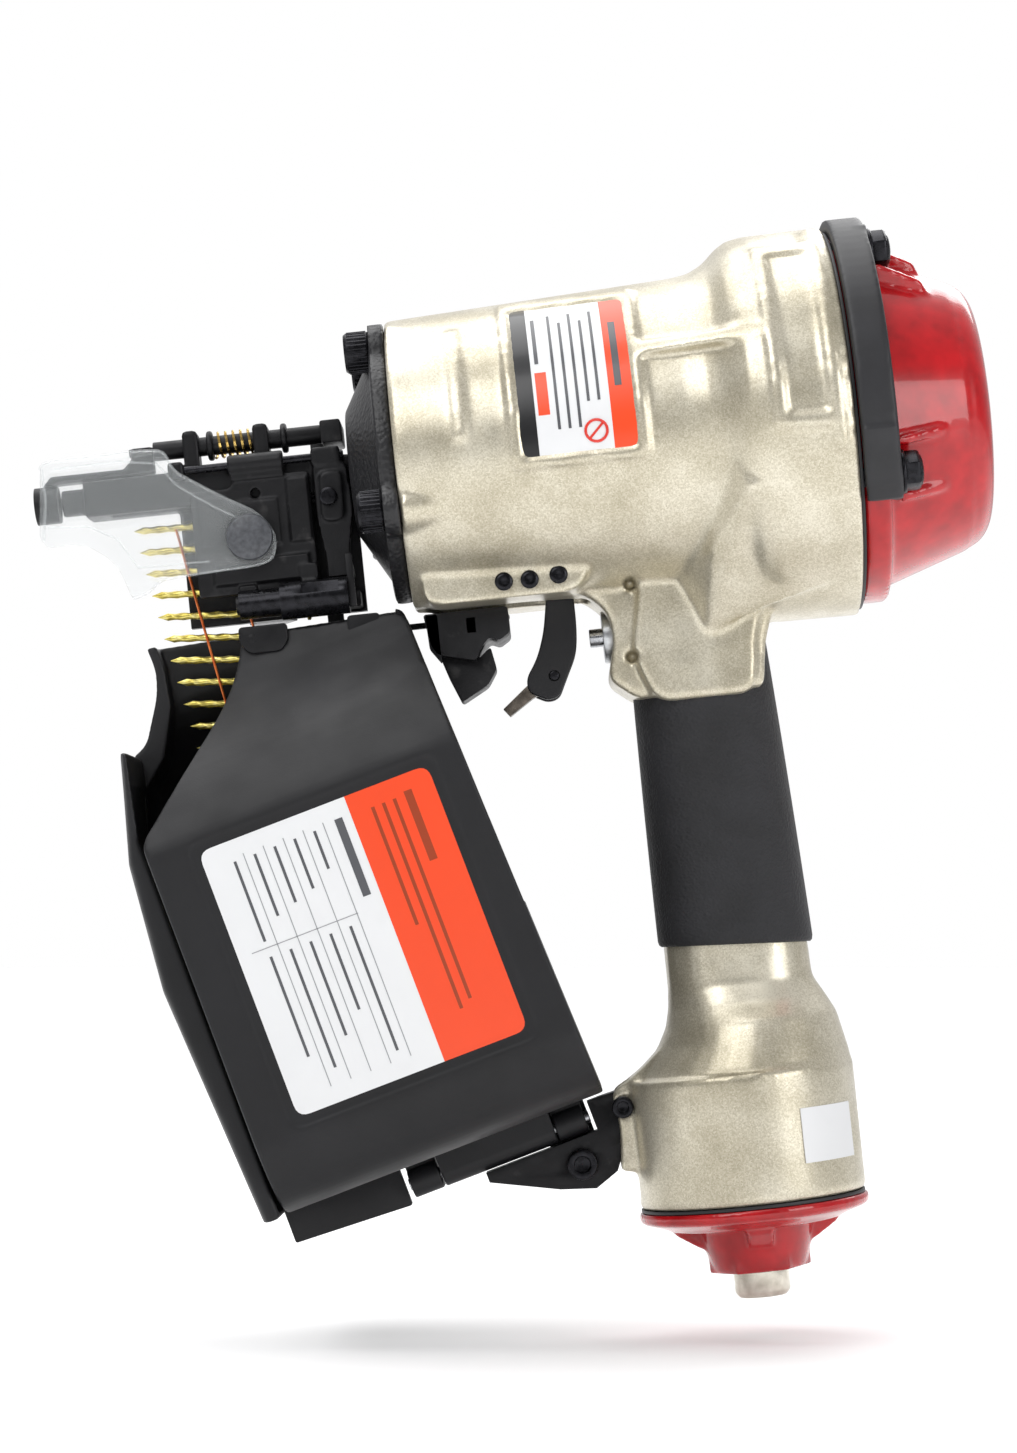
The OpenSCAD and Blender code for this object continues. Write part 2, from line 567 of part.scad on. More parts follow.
// ---- nails ----
strip_n = 11;
strip_lean = 10;
strip_tip = [31, 0, -11.4];
function strip_bend(i) = i < 4 ? 0 : 0.16 * (i - 3) * (i - 3);
function strip_at(i) = strip_tip
    + [i * nail_pitch * sin(strip_lean), strip_bend(i), -i * nail_pitch * cos(strip_lean)];
function strip_tilt(i) = min(5, 1 + i * 0.6);
module nail() {
    cylinder(r1 = 0.1, r2 = shank_r, h = 3.2, $fn = 24);
    translate([0, 0, 3.2 - eps]) cylinder(r = shank_r, h = nail_l - 4.4, $fn = 24);
    translate([0, 0, nail_l - 1.2 - 2 * eps]) cylinder(r = 3.1, h = 1.2, $fn = 24);
}
module nail_strip() color("#b8ab4e") for (i = [0:strip_n - 1])
    translate(strip_at(i)) rotate([0, 90 + strip_tilt(i), 0]) nail();

// A wire swept through points, with one ring of corners at each
module wire_through(at, r) {
    sides = 8;
    ends = len(at) - 1;
    function corner(i, k) = at[i] + [r * cos(360 * k / sides), r * sin(360 * k / sides), 0];
    points = [for (i = [0:ends]) for (k = [0:sides - 1]) corner(i, k)];
    skin = [for (i = [0:ends - 1]) for (k = [0:sides - 1])
        [i * sides + k, i * sides + (k + 1) % sides, (i + 1) * sides + (k + 1) % sides, (i + 1) * sides + k]];
    caps = [[for (k = [0:sides - 1]) sides - 1 - k], [for (k = [0:sides - 1]) ends * sides + k]];
    polyhedron(points, concat(skin, caps));
}
module collation_wire() color("#c2602a") for (reach = [14, 30])
    wire_through([for (i = [0:strip_n - 1]) strip_at(i) + [reach, -shank_r - 0.5, -reach * 0.07]], 0.45);

// ---- bracket, end cap, fitting ----
module magazine_bracket() color("#232326") difference() {
    intersection() {
        magazine_frame() side_plate([[62, -11.6], [62, -14.8], [82.5, -25], [93.5, -28.8], [101.8, -26],
            [108, -18], [120, -18], [120, -2.4], [106, -1.8], [100.4, -1.8], [100.4, -11.6]],
            bracket_y0, bracket_y1);
        block([80, -20, -260], [172.6, 20, -200]);
    }
    magazine_frame() along_y(ear_screw[0], -20, ear_screw[1]) cylinder(r = bracket_screw_r + gap, h = 40);
    along_y(lug_screw[0], -20, lug_screw[1]) cylinder(r = bracket_screw_r + gap, h = 40);
}
// Screw along +Y with its head before y0 and its nut after y1
module bracket_screw(at, y0, y1, head) along_y(at[0], y0, at[1]) {
    cylinder(r = bracket_screw_r, h = y1 - y0);
    translate([0, 0, -3.2]) cylinder(r = head, h = 3.2 + eps, $fn = 48);
    translate([0, 0, y1 - y0 - eps]) cylinder(r = head, h = 4, $fn = 6);
}
module bracket_bolts() color("#2c2c2e") {
    magazine_frame() bracket_screw(ear_screw, bracket_y0 - gap, ear_y + 3 + gap, 5);
    bracket_screw(lug_screw, -lug_y - gap, lug_y + gap, 3.5);
}
module end_cap_gasket() color("#151517") translate([end_x, 0, -248.1]) tube(end_r - 0.4, 24, 1);
module end_cap() color("#b3121a") difference() {
    union() {
        translate([end_x, 0, -252]) cylinder(r = end_r + 0.3, h = 3.8, $fn = 96);
        translate([end_x, 0, -257]) cylinder(r1 = 22, r2 = 27, h = 5.1);
        translate([end_x, 0, -270]) cylinder(r = 18, h = 14, $fn = 6);
        block([223, -6, -258], [235, 6, -251]);
    }
    translate([end_x, 0, -280]) cylinder(r = 8 + gap, h = 40);
}
module air_fitting() color("#c9cbce") difference() {
    union() {
        translate([end_x, 0, -278.3]) cylinder(r1 = 8, r2 = 9, h = 1.5);
        translate([end_x, 0, -276.8 - eps]) cylinder(r = 9, h = 6.7);
        translate([end_x, 0, -271]) cylinder(r = 8, h = 24);
    }
    translate([end_x, 0, -290]) cylinder(r = 5.7, h = 60);
}
module inlet_filter() color("#9a9a96") translate([end_x, 0, -246.9]) tube(8, 6.5, 30);

// ---- labels ----
module body_label() color("#f4f4f2") intersection() {
    difference() {
        along_x(110) cylinder(r1 = 47.16 + 0.75, r2 = 47.16 + 0.75 + 6.2, h = 130, $fn = 96);
        along_x(110) cylinder(r1 = 47.16 + 0.1, r2 = 47.16 + 0.1 + 6.2, h = 130, $fn = 96);
    }
    side_plate([[158, -6], [196, -9], [197, 42], [160, 44]], -70, -10);
}
module handle_label() color("#f4f4f2") intersection() {
    translate([end_x, 0, -236]) difference() {
        cylinder(r = end_r + 0.5, h = 18, $fn = 96);
        translate([0, 0, -1]) cylinder(r = end_r + 0.05, h = 30, $fn = 96);
    }
    side_plate([[236, -240], [250, -240], [250, -210], [236, -210]], -36, -14);
}

body_housing();
handle_grip();
nose_body();
nose_bolts();
cylinder_liner();
cylinder_seals();
bumper();
piston();
piston_ring();
driver_blade();
head_valve();
head_valve_seal();
head_valve_spring();
cap_gasket();
cylinder_cap();
cap_guard();
cap_bolts();
trigger_pins();
trigger();
lever_pin();
contact_lever();
valve_housing();
valve_plunger();
valve_spring();
valve_seals();
contact_foot();
contact_arm_upper();
contact_arm_lower();
contact_spring();
nose_door();
door_hinge_pin();
latch_barrel();
latch_lever();
latch_spring();
visor();
visor_disc();
feeder_housing();
feed_piston();
feed_pawl();
feed_spring();
feed_cap();
magazine_base();
magazine_cover();
magazine_hinge_pin();
coil_platform();
platform_post();
nail_coil();
nail_strip();
collation_wire();
magazine_bracket();
bracket_bolts();
end_cap();
end_cap_gasket();
air_fitting();
inlet_filter();
body_label();
magazine_label();
handle_label();
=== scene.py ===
import math

import bmesh
import bpy
from mathutils import Matrix, Vector


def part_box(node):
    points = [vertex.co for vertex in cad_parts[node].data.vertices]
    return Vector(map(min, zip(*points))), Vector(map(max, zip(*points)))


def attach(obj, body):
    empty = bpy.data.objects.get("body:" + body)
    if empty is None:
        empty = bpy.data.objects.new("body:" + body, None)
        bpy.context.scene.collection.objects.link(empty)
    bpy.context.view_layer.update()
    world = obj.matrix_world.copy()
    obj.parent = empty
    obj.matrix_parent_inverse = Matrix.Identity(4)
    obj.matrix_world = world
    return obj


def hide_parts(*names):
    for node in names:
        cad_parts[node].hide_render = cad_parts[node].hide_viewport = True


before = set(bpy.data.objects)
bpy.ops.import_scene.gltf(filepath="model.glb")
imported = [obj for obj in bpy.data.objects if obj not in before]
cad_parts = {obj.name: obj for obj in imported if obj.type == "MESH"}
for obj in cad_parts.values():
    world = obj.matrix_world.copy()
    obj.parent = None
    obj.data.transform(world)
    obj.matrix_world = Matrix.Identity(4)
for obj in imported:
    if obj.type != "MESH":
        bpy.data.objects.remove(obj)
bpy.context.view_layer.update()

bl_info = {
    "name": "Coil roofing nailer",
    "version": (1, 0, 0),
    "blender": (4, 5, 0),
    "location": "3D View > Sidebar > Nailer",
    "description": "Builds the shells, materials and stage of a coil roofing nailer",
    "category": "Object",
}

MM = 0.001


# ---------------------------------------------------------------- sizes from the frame


def low(node):
    """Lowest corner of a frame node, in millimetres."""
    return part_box(node)[0] / MM


def high(node):
    """Highest corner of a frame node, in millimetres."""
    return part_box(node)[1] / MM


FRONT_X = low("body_housing").x  # front face of the cast body
JOINT_X = high("body_housing").x  # joint between the body and the cap
CAP_X = high("cylinder_cap").x
GRIP_LOW, GRIP_HIGH = low("handle_grip"), high("handle_grip")
GRIP_X = (GRIP_LOW.x + GRIP_HIGH.x) / 2
END_X = (low("end_cap_gasket").x + high("end_cap_gasket").x) / 2
END_R = (high("end_cap_gasket").x - low("end_cap_gasket").x) / 2 + 0.4
END_Z = high("end_cap_gasket").z
TILT = math.radians(15)
MAGAZINE = Matrix.Translation((61, 0, -235)) @ Matrix.Rotation(-TILT, 4, "Y")
COVER_L = 107
COVER_D = 52
THROAT_Y = 12
COIL_Z = 60
NOSE_BOLTS = [(-20, 36), (20, 36), (-39, -18), (39, -18)]
CAP_BOLTS = [(-27, 50), (27, 50), (-51, -24.5), (51, -24.5)]
CAP_AXIS_Z = -2
DRIVE = (1, 0, 0)  # direction of the driving axis
UP, DOWN = (0, 0, 1), (0, 0, -1)
ROD_Z = 14  # contact rod over the nose
DOOR_PIN_Y, DOOR_PIN_Z = -9, 5.5
TRIGGER_PIN_X, TRIGGER_PIN_Z = 167.1, -43
LEVER_PIN_X, LEVER_PIN_Z = 162.5, -73.2
DISC_X, DISC_Z = 69.6, -19
BRACKET_X, BRACKET_Z = 169.7, -213.4  # screw that holds the bracket to the body
HINGE_Z = -6.5  # magazine hinge, in the magazine's own frame
POINT_R = 0.02  # radius that stands for a point on the axis
BREAK_OVER = math.radians(32)  # edges sharper than this get a bevel

# Radius of the cast barrel along the driving axis
BARREL = [(119.5, 47.4), (121, 47.9), (213, 52.0), (219, 52.9), (224, 55.4), (228.5, 59.6), (232, 61.8),
          (237, 62.8), (263, 63.2)]


def barrel_r(x):
    """Radius of the barrel at x, in millimetres."""
    for (x0, r0), (x1, r1) in zip(BARREL, BARREL[1:]):
        if x <= x1:
            return r0 + (r1 - r0) * max(0.0, x - x0) / (x1 - x0)
    return BARREL[-1][1]


# ---------------------------------------------------------------- mesh tools


def arc(cx, cy, r, start, end, steps=8):
    """Points of an arc, angles in degrees."""
    turns = [math.radians(start + (end - start) * i / steps) for i in range(steps + 1)]
    return [(cx + r * math.cos(a), cy + r * math.sin(a)) for a in turns]


def rounded(points, r, steps=5):
    """A closed outline with each corner rounded by r, or by its own third value."""
    out = []
    n = len(points)
    for i, p in enumerate(points):
        radius = p[2] if len(p) > 2 else r
        here = Vector(p[:2])
        to_a = Vector(points[i - 1][:2]) - here
        to_b = Vector(points[(i + 1) % n][:2]) - here
        reach = min(radius, to_a.length * 0.48, to_b.length * 0.48)
        a = here + to_a.normalized() * reach
        b = here + to_b.normalized() * reach
        for k in range(steps + 1):
            t = k / steps
            out.append(tuple(a * (1 - t) ** 2 + here * 2 * t * (1 - t) + b * t ** 2))
    return out


def spokes(axis, sides):
    """An axis as a unit vector, and unit vectors square to it, evenly round it."""
    axis = Vector(axis).normalized()
    side = axis.orthogonal().normalized()
    up = axis.cross(side)
    turns = [2 * math.pi * k / sides for k in range(sides)]
    return axis, [side * math.cos(a) + up * math.sin(a) for a in turns]


class Shape:
    """Closed solids gathered in one mesh, in millimetres."""

    def __init__(self):
        self.bm = bmesh.new()

    def _close(self, rings, capped=True):
        """Skins a list of equal rings of points and caps both ends."""
        rows = [[self.bm.verts.new(p) for p in ring] for ring in rings]
        faces = []
        n = len(rows[0])
        for a, b in zip(rows, rows[1:]):
            for k in range(n):
                faces.append(self.bm.faces.new((a[k], a[(k + 1) % n], b[(k + 1) % n], b[k])))
        if capped:
            faces.append(self.bm.faces.new(rows[0]))
            faces.append(self.bm.faces.new(rows[-1]))
        bmesh.ops.recalc_face_normals(self.bm, faces=faces)
        return self

    def block(self, low_corner, high_corner):
        """A box between two corners."""
        (x0, y0, z0), (x1, y1, z1) = low_corner, high_corner
        return self.plate([(x0, z0), (x1, z0), (x1, z1), (x0, z1)], y0, y1)

    def plate(self, outline, y0, y1):
        """An outline in X and Z, extruded from y0 to y1."""
        return self._close([[(x, y, z) for x, z in outline] for y in (y0, y1)])

    def slice(self, outline, x0, x1):
        """An outline in Y and Z, extruded from x0 to x1."""
        return self._close([[(x, y, z) for y, z in outline] for x in (x0, x1)])

    def slab(self, outline, z0, z1):
        """An outline in X and Y, extruded from z0 to z1."""
        return self._close([[(x, y, z) for x, y in outline] for z in (z0, z1)])

    def loft(self, rings):
        """Rings of points, skinned in order."""
        return self._close(rings)

    def lathe(self, base, axis, profile, sides=96):
        """Turns (distance along the axis, radius) pairs about the axis through base."""
        axis, outward = spokes(axis, sides)
        return self._close([[Vector(base) + axis * along + out * max(r, POINT_R) for out in outward]
                            for along, r in profile])

    def rod(self, start, end, r, r2=None, sides=48):
        """A round bar, or a cone with a second radius."""
        axis = Vector(end) - Vector(start)
        return self.lathe(start, axis, [(0, r), (axis.length, r if r2 is None else r2)], sides)

    def collar(self, start, axis, r, hole, length, sides=64):
        """A ring of square section."""
        profile = [(0, hole), (0, r), (length, r), (length, hole)]
        axis, outward = spokes(axis, sides)
        made = [[self.bm.verts.new(Vector(start) + axis * along + out * q) for along, q in profile]
                for out in outward]
        made.append(made[0])
        faces = []
        for a, b in zip(made, made[1:]):
            for k in range(4):
                faces.append(self.bm.faces.new((a[k], a[(k + 1) % 4], b[(k + 1) % 4], b[k])))
        bmesh.ops.recalc_face_normals(self.bm, faces=faces)
        return self

    def on_barrel(self, x0, x1, z0, z1, lift, side=-1, depth=2.0, steps=10):
        """A block on the barrel's side, between two X and two Z places, that stands lift proud of it."""
        rings = []
        for i in range(steps + 1):
            z = z0 + (z1 - z0) * i / steps
            ring = []
            for x, q in ((x0, lift), (x1, lift), (x1, -depth), (x0, -depth)):
                r = barrel_r(x) + q
                ring.append((x, side * math.sqrt(max(r * r - z * z, 4.0)), z))
            rings.append(ring)
        return self._close(rings)

    def hull(self, points):
        """The convex solid round some points."""
        verts = [self.bm.verts.new(p) for p in points]
        made = bmesh.ops.convex_hull(self.bm, input=verts)
        bmesh.ops.recalc_face_normals(self.bm,
                                      faces=[g for g in made["geom"] if isinstance(g, bmesh.types.BMFace)])
        spare = [v for v in verts if v.is_valid and not v.link_faces]
        bmesh.ops.delete(self.bm, geom=spare, context="VERTS")
        return self

    def tube(self, path, r, sides=10):
        """A round wire through points."""
        rings = []
        n = len(path)
        up = Vector((0.13, 0.97, 0.2))
        for i, p in enumerate(path):
            ahead = Vector(path[min(i + 1, n - 1)]) - Vector(path[max(i - 1, 0)])
            ahead.normalize()
            side = ahead.cross(up).normalized()
            over = side.cross(ahead)
            ring = []
            for k in range(sides):
                a = 2 * math.pi * k / sides
                ring.append(Vector(p) + (side * math.cos(a) + over * math.sin(a)) * r)
            rings.append(ring)
        return self._close(rings)

    def moved(self, matrix):
        """The same solids, moved by a matrix."""
        bmesh.ops.transform(self.bm, matrix=matrix, verts=self.bm.verts)
        return self

    def to_object(self, name):
        """Turns the solids into an object, in metres."""
        mesh = bpy.data.meshes.new(name)
        bmesh.ops.scale(self.bm, vec=(MM, MM, MM), verts=self.bm.verts)
        self.bm.to_mesh(mesh)
        self.bm.free()
        piece = bpy.data.objects.new(name, mesh)
        bpy.context.scene.collection.objects.link(piece)
        return piece


def bake(piece):
    """Applies a piece's modifiers to its mesh."""
    bpy.context.view_layer.update()
    seen = piece.evaluated_get(bpy.context.evaluated_depsgraph_get())
    mesh = bpy.data.meshes.new_from_object(seen)
    piece.modifiers.clear()
    old = piece.data
    piece.data = mesh
    bpy.data.meshes.remove(old)


def shade(piece, sharp=35):
    """Smooth shading with edges over an angle kept sharp."""
    bm = bmesh.new()
    bm.from_mesh(piece.data)
    for face in bm.faces:
        face.smooth = True
    limit = math.radians(sharp)
    for edge in bm.edges:
        edge.smooth = len(edge.link_faces) == 2 and edge.calc_face_angle(0) < limit
    bm.to_mesh(piece.data)
    bm.free()


def remesh(piece, voxel):
    """Joins a piece's overlapping solids into one closed skin."""
    step = piece.modifiers.new("voxels", "REMESH")
    step.mode = "VOXEL"
    step.voxel_size = voxel * MM
    step.use_smooth_shade = True
    bake(piece)


def boolean(piece, other, operation):
    """Cuts a piece with another, or keeps what they share, and removes the other."""
    step = piece.modifiers.new("cut", "BOOLEAN")
    step.operation = operation
    step.solver = "MANIFOLD"
    step.object = other
    bake(piece)
    bpy.data.objects.remove(other)


def dress(piece, body, material, nodes=()):
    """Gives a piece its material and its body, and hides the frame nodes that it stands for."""
    piece.data.materials.clear()
    piece.data.materials.append(material)
    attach(piece, body)
    if nodes:
        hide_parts(*nodes)
    return piece


def settle(piece, times):
    """Rounds a remeshed skin and shades it smooth."""
    step = piece.modifiers.new("soften", "SMOOTH")
    step.iterations = times
    bake(piece)
    shade(piece, 180)


def cast(name, shape, voxel=0.8, soften=4, cuts=(), within=None):
    """A moulded or cast piece: solids joined, cut, and rounded at every edge."""
    piece = shape.to_object(name)
    remesh(piece, voxel)
    for number, cut in enumerate(cuts):
        boolean(piece, cut.to_object(f"{name}_cut{number}"), "DIFFERENCE")
    if within:
        boolean(piece, within.to_object(f"{name}_within"), "INTERSECT")
    if cuts or within:
        remesh(piece, voxel)
    settle(piece, soften)
    return piece


def break_edges(piece, bevel, segments=2):
    """Bevels a piece's sharp edges by a width in millimetres."""
    step = piece.modifiers.new("bevel", "BEVEL")
    step.width = bevel * MM
    step.segments = segments
    step.limit_method = "ANGLE"
    step.angle_limit = BREAK_OVER
    bake(piece)


def machined(name, shape, bevel=0.4, segments=2):
    """A machined piece: solids with small bevels on their edges."""
    piece = shape.to_object(name)
    if bevel:
        break_edges(piece, bevel, segments)
    shade(piece)
    return piece


def softened(node, body, material, bevel=0.4):
    """A frame node's own shape with its edges broken, standing in for that node."""
    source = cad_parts[node]
    bm = bmesh.new()
    bm.from_mesh(source.data)
    bmesh.ops.remove_doubles(bm, verts=bm.verts, dist=1e-6)
    bmesh.ops.dissolve_limit(bm, angle_limit=math.radians(1.5), verts=bm.verts, edges=bm.edges)
    mesh = bpy.data.meshes.new(node + "_part")
    bm.to_mesh(mesh)
    bm.free()
    piece = bpy.data.objects.new(node + "_part", mesh)
    bpy.context.scene.collection.objects.link(piece)
    break_edges(piece, bevel)
    shade(piece)
    return dress(piece, body, material, [node])


# ---------------------------------------------------------------- materials


def linear(code):
    """An sRGB hex colour as linear red, green, blue and alpha."""
    parts = [int(code[i:i + 2], 16) / 255 for i in (1, 3, 5)]
    return tuple(c / 12.92 if c <= 0.04045 else ((c + 0.055) / 1.055) ** 2.4 for c in parts) + (1.0,)


def add(tree, kind, sockets=None, **settings):
    """Adds a node with its settings; a socket takes a value, or a (node, output) pair as a link."""
    made = tree.nodes.new(kind)
    for key, value in settings.items():
        setattr(made, key, value)
    for key, value in (sockets or {}).items():
        if isinstance(value, tuple) and isinstance(value[0], bpy.types.Node):
            tree.links.new(value[0].outputs[value[1]], made.inputs[key])
        else:
            made.inputs[key].default_value = value
    return made


def surface(name, **sockets):
    """A material with its Principled shader; returns the material, the tree and the shader."""
    material = bpy.data.materials.new(name)
    material.use_nodes = True
    tree = material.node_tree
    shader = tree.nodes["Principled BSDF"]
    for key, value in sockets.items():
        shader.inputs[key.replace("_", " ")].default_value = value
    return material, tree, shader


def relief(tree, shader, height, strength, distance):
    """Drives a shader's normal from a height; distance is in millimetres."""
    bump = add(tree, "ShaderNodeBump", {"Strength": strength, "Distance": distance * MM, "Height": height})
    tree.links.new(bump.outputs["Normal"], shader.inputs["Normal"])


def graded(tree, factor, stops):
    """A colour that runs through (place, hex colour) stops as a factor rises."""
    ramp = add(tree, "ShaderNodeValToRGB", {"Fac": factor})
    elements = ramp.color_ramp.elements
    while len(elements) < len(stops):
        elements.new(0.5)
    for element, (place, code) in zip(elements, stops):
        element.position = place
        element.color = linear(code)
    return ramp


def tint(tree, shader, factor, stops):
    """Drives a shader's colour through (place, hex colour) stops."""
    tree.links.new(graded(tree, factor, stops).outputs["Color"], shader.inputs["Base Color"])


def per_mm(size):
    """Texture scale that gives features of a size in millimetres."""
    return 1.0 / (size * MM)


def vary(tree, shader, grain, lo, hi):
    """Drives roughness between two values by noise with a grain in millimetres."""
    place = add(tree, "ShaderNodeTexCoord")
    noise = add(tree, "ShaderNodeTexNoise",
                {"Vector": (place, "Object"), "Scale": per_mm(grain), "Detail": 3.0})
    span = add(tree, "ShaderNodeMapRange", {"Value": (noise, "Fac"), "From Min": 0.3, "From Max": 0.7,
                                            "To Min": lo, "To Max": hi})
    tree.links.new(span.outputs["Result"], shader.inputs["Roughness"])


MATERIALS = {}


def make_materials(colours):
    """Every finish on the tool."""
    # Die-cast aluminium under sprayed champagne metallic paint: fine flakes and a soft orange peel
    m, t, s = surface("aluminium_cast_champagne_spray", Metallic=0.62, Roughness=0.34, Coat_Weight=0.25,
                      Coat_Roughness=0.22)
    place = add(t, "ShaderNodeTexCoord")
    flake = add(t, "ShaderNodeTexVoronoi", {"Vector": (place, "Object"), "Scale": per_mm(0.42)})
    patch = add(t, "ShaderNodeTexNoise", {"Vector": (place, "Object"), "Scale": per_mm(26), "Detail": 4.0})
    mix = add(t, "ShaderNodeMath", {0: (flake, "Color"), 1: 0.42}, operation="MULTIPLY")
    both = add(t, "ShaderNodeMath", {0: (mix, "Value"), 1: (patch, "Fac")}, operation="ADD")
    tint(t, s, (both, "Value"), [(0.35, colours.casting_dark), (0.62, colours.casting),
                                 (0.95, colours.casting_light)])
    peel = add(t, "ShaderNodeTexNoise", {"Vector": (place, "Object"), "Scale": per_mm(0.7), "Detail": 2.0})
    relief(t, s, (peel, "Fac"), 0.22, 0.08)
    vary(t, s, 9, 0.29, 0.4)
    MATERIALS["casting"] = m

    # Die-cast aluminium under red enamel: a deep wet gloss with faint waviness
    m, t, s = surface("aluminium_red_gloss_enamel", Base_Color=linear(colours.red), Roughness=0.26,
                      Coat_Weight=0.5, Coat_Roughness=0.06, IOR=1.4)
    place = add(t, "ShaderNodeTexCoord")
    wave = add(t, "ShaderNodeTexNoise", {"Vector": (place, "Object"), "Scale": per_mm(7), "Detail": 2.0})
    tint(t, s, (wave, "Fac"), [(0.3, colours.red_dark), (0.7, colours.red)])
    relief(t, s, (wave, "Fac"), 0.12, 0.25)
    MATERIALS["enamel"] = m

    # Glass-filled nylon from a grained mould: satin black with a fine leathery grain
    m, t, s = surface("nylon_black_mould_grain", Roughness=0.5, IOR=1.42)
    place = add(t, "ShaderNodeTexCoord")
    grain = add(t, "ShaderNodeTexVoronoi", {"Vector": (place, "Object"), "Scale": per_mm(0.55)},
                feature="SMOOTH_F1")
    cloud = add(t, "ShaderNodeTexNoise", {"Vector": (place, "Object"), "Scale": per_mm(30), "Detail": 5.0})
    tint(t, s, (cloud, "Fac"), [(0.3, colours.nylon), (0.75, colours.nylon_light)])
    relief(t, s, (grain, "Distance"), 0.16, 0.1)
    vary(t, s, 14, 0.46, 0.56)
    MATERIALS["nylon"] = m

    # Cast steel with a manganese phosphate coat: dull black, slightly rough, rubbed grey here and there
    m, t, s = surface("steel_phosphate_black", Metallic=0.55, Roughness=0.46)
    place = add(t, "ShaderNodeTexCoord")
    grit = add(t, "ShaderNodeTexNoise", {"Vector": (place, "Object"), "Scale": per_mm(0.5), "Detail": 4.0})
    rub = add(t, "ShaderNodeTexNoise", {"Vector": (place, "Object"), "Scale": per_mm(6), "Detail": 6.0})
    tint(t, s, (rub, "Fac"), [(0.35, colours.phosphate), (0.62, colours.phosphate),
                              (0.85, colours.phosphate_rubbed)])
    relief(t, s, (grit, "Fac"), 0.35, 0.12)
    vary(t, s, 5, 0.36, 0.55)
    MATERIALS["phosphate"] = m

    # Nose flange with a textured black powder coat: a coarse pebble that catches small lights
    m, t, s = surface("powder_coat_black_textured", Roughness=0.42, IOR=1.5)
    place = add(t, "ShaderNodeTexCoord")
    pebble = add(t, "ShaderNodeTexVoronoi", {"Vector": (place, "Object"), "Scale": per_mm(1.3)},
                 feature="SMOOTH_F1")
    # painted shade and highlight: the colour is a touch darker in the dimples of the bump and paler on its
    # ridges
    tint(t, s, (pebble, "Distance"), [(0.2, colours.phosphate), (0.8, colours.nylon_light)])
    relief(t, s, (pebble, "Distance"), 0.7, 0.35)
    MATERIALS["powder"] = m

    # Moulded nitrile rubber with a pebbled skin: dark, soft, with a broad dull sheen
    m, t, s = surface("nitrile_rubber_pebbled", Roughness=0.72, IOR=1.52, Sheen_Weight=0.06)
    place = add(t, "ShaderNodeTexCoord")
    pebble = add(t, "ShaderNodeTexVoronoi", {"Vector": (place, "Object"), "Scale": per_mm(0.95)})
    dust = add(t, "ShaderNodeTexNoise", {"Vector": (place, "Object"), "Scale": per_mm(18), "Detail": 6.0})
    tint(t, s, (dust, "Fac"), [(0.35, colours.rubber), (0.75, colours.rubber_light)])
    relief(t, s, (pebble, "Distance"), 0.75, 0.3)
    MATERIALS["grip"] = m

    # Smooth moulded rubber: matte black with a faint bloom
    m, t, s = surface("nitrile_rubber_smooth", Roughness=0.5, IOR=1.52)
    place = add(t, "ShaderNodeTexCoord")
    bloom = add(t, "ShaderNodeTexNoise", {"Vector": (place, "Object"), "Scale": per_mm(12), "Detail": 6.0})
    tint(t, s, (bloom, "Fac"), [(0.3, colours.rubber), (0.8, colours.rubber_light)])
    fine = add(t, "ShaderNodeTexNoise", {"Vector": (place, "Object"), "Scale": per_mm(0.4), "Detail": 2.0})
    relief(t, s, (fine, "Fac"), 0.2, 0.1)
    MATERIALS["rubber"] = m

    # Metals with one cloudy colour. After the name: metallic, roughness, size of the clouds in mm, their
    # detail, the colour stops, and where the gloss varies, its grain in mm and its two ends
    for key, name, metal, rough, size, detail, stops, gloss in (
            # Screws and pins with a black oxide finish: smooth, dark and a little oily
            ("oxide", "steel_black_oxide", 0.8, 0.28, 2, 3.0, [(0.3, "#17171A"), (0.8, "#2E2E32")],
             (2, 0.22, 0.36)),
            # Turned and ground steel: bright, with fine turning marks
            ("steel", "steel_turned_bright", 1.0, 0.27, 0.6, 2.0, [(0.3, "#9C9EA2"), (0.7, "#C6C8CB")],
             (3, 0.2, 0.36)),
            # Brass stub with nickel plate: warm silver and nearly polished
            ("nickel", "brass_nickel_plated", 1.0, 0.2, 4, 4.0, [(0.3, "#B9B2A4"), (0.7, "#DDD8CC")],
             (5, 0.14, 0.28)),
            # Machined aluminium: pale grey satin
            ("aluminium", "aluminium_machined", 1.0, 0.35, 2, 4.0, [(0.3, "#A9ABAE"), (0.7, "#CFD1D3")],
             None),
            # Spring wire with yellow zinc: brassy and bright
            ("spring", "spring_wire_yellow_zinc", 1.0, 0.25, 2, 4.0, [(0.3, "#B79248"), (0.7, "#DDBE74")],
             None),
            # Nails with yellow zinc: straw gold, streaked from barrel plating
            ("nail", "nail_steel_yellow_zinc", 0.9, 0.3, 2.5, 4.0,
             [(0.25, "#A8953F"), (0.5, "#D5C56A"), (0.8, "#E8DFA0")], None),
            # Collation wire with a copper wash: orange and bright
            ("copper", "wire_copper_washed", 0.85, 0.32, 3, 3.0, [(0.3, "#B9562A"), (0.7, "#E07F45")],
             None),
            # Pressed steel lever, heat-tinted brown
            ("lever", "steel_pressed_brown", 0.8, 0.38, 3, 4.0, [(0.3, "#4A443E"), (0.7, "#716960")],
             None)):
        m, t, s = surface(name, Metallic=metal, Roughness=rough)
        place = add(t, "ShaderNodeTexCoord")
        cloud = add(t, "ShaderNodeTexNoise",
                    {"Vector": (place, "Object"), "Scale": per_mm(size), "Detail": detail})
        tint(t, s, (cloud, "Fac"), stops)
        if gloss:
            vary(t, s, *gloss)
        MATERIALS[key] = m

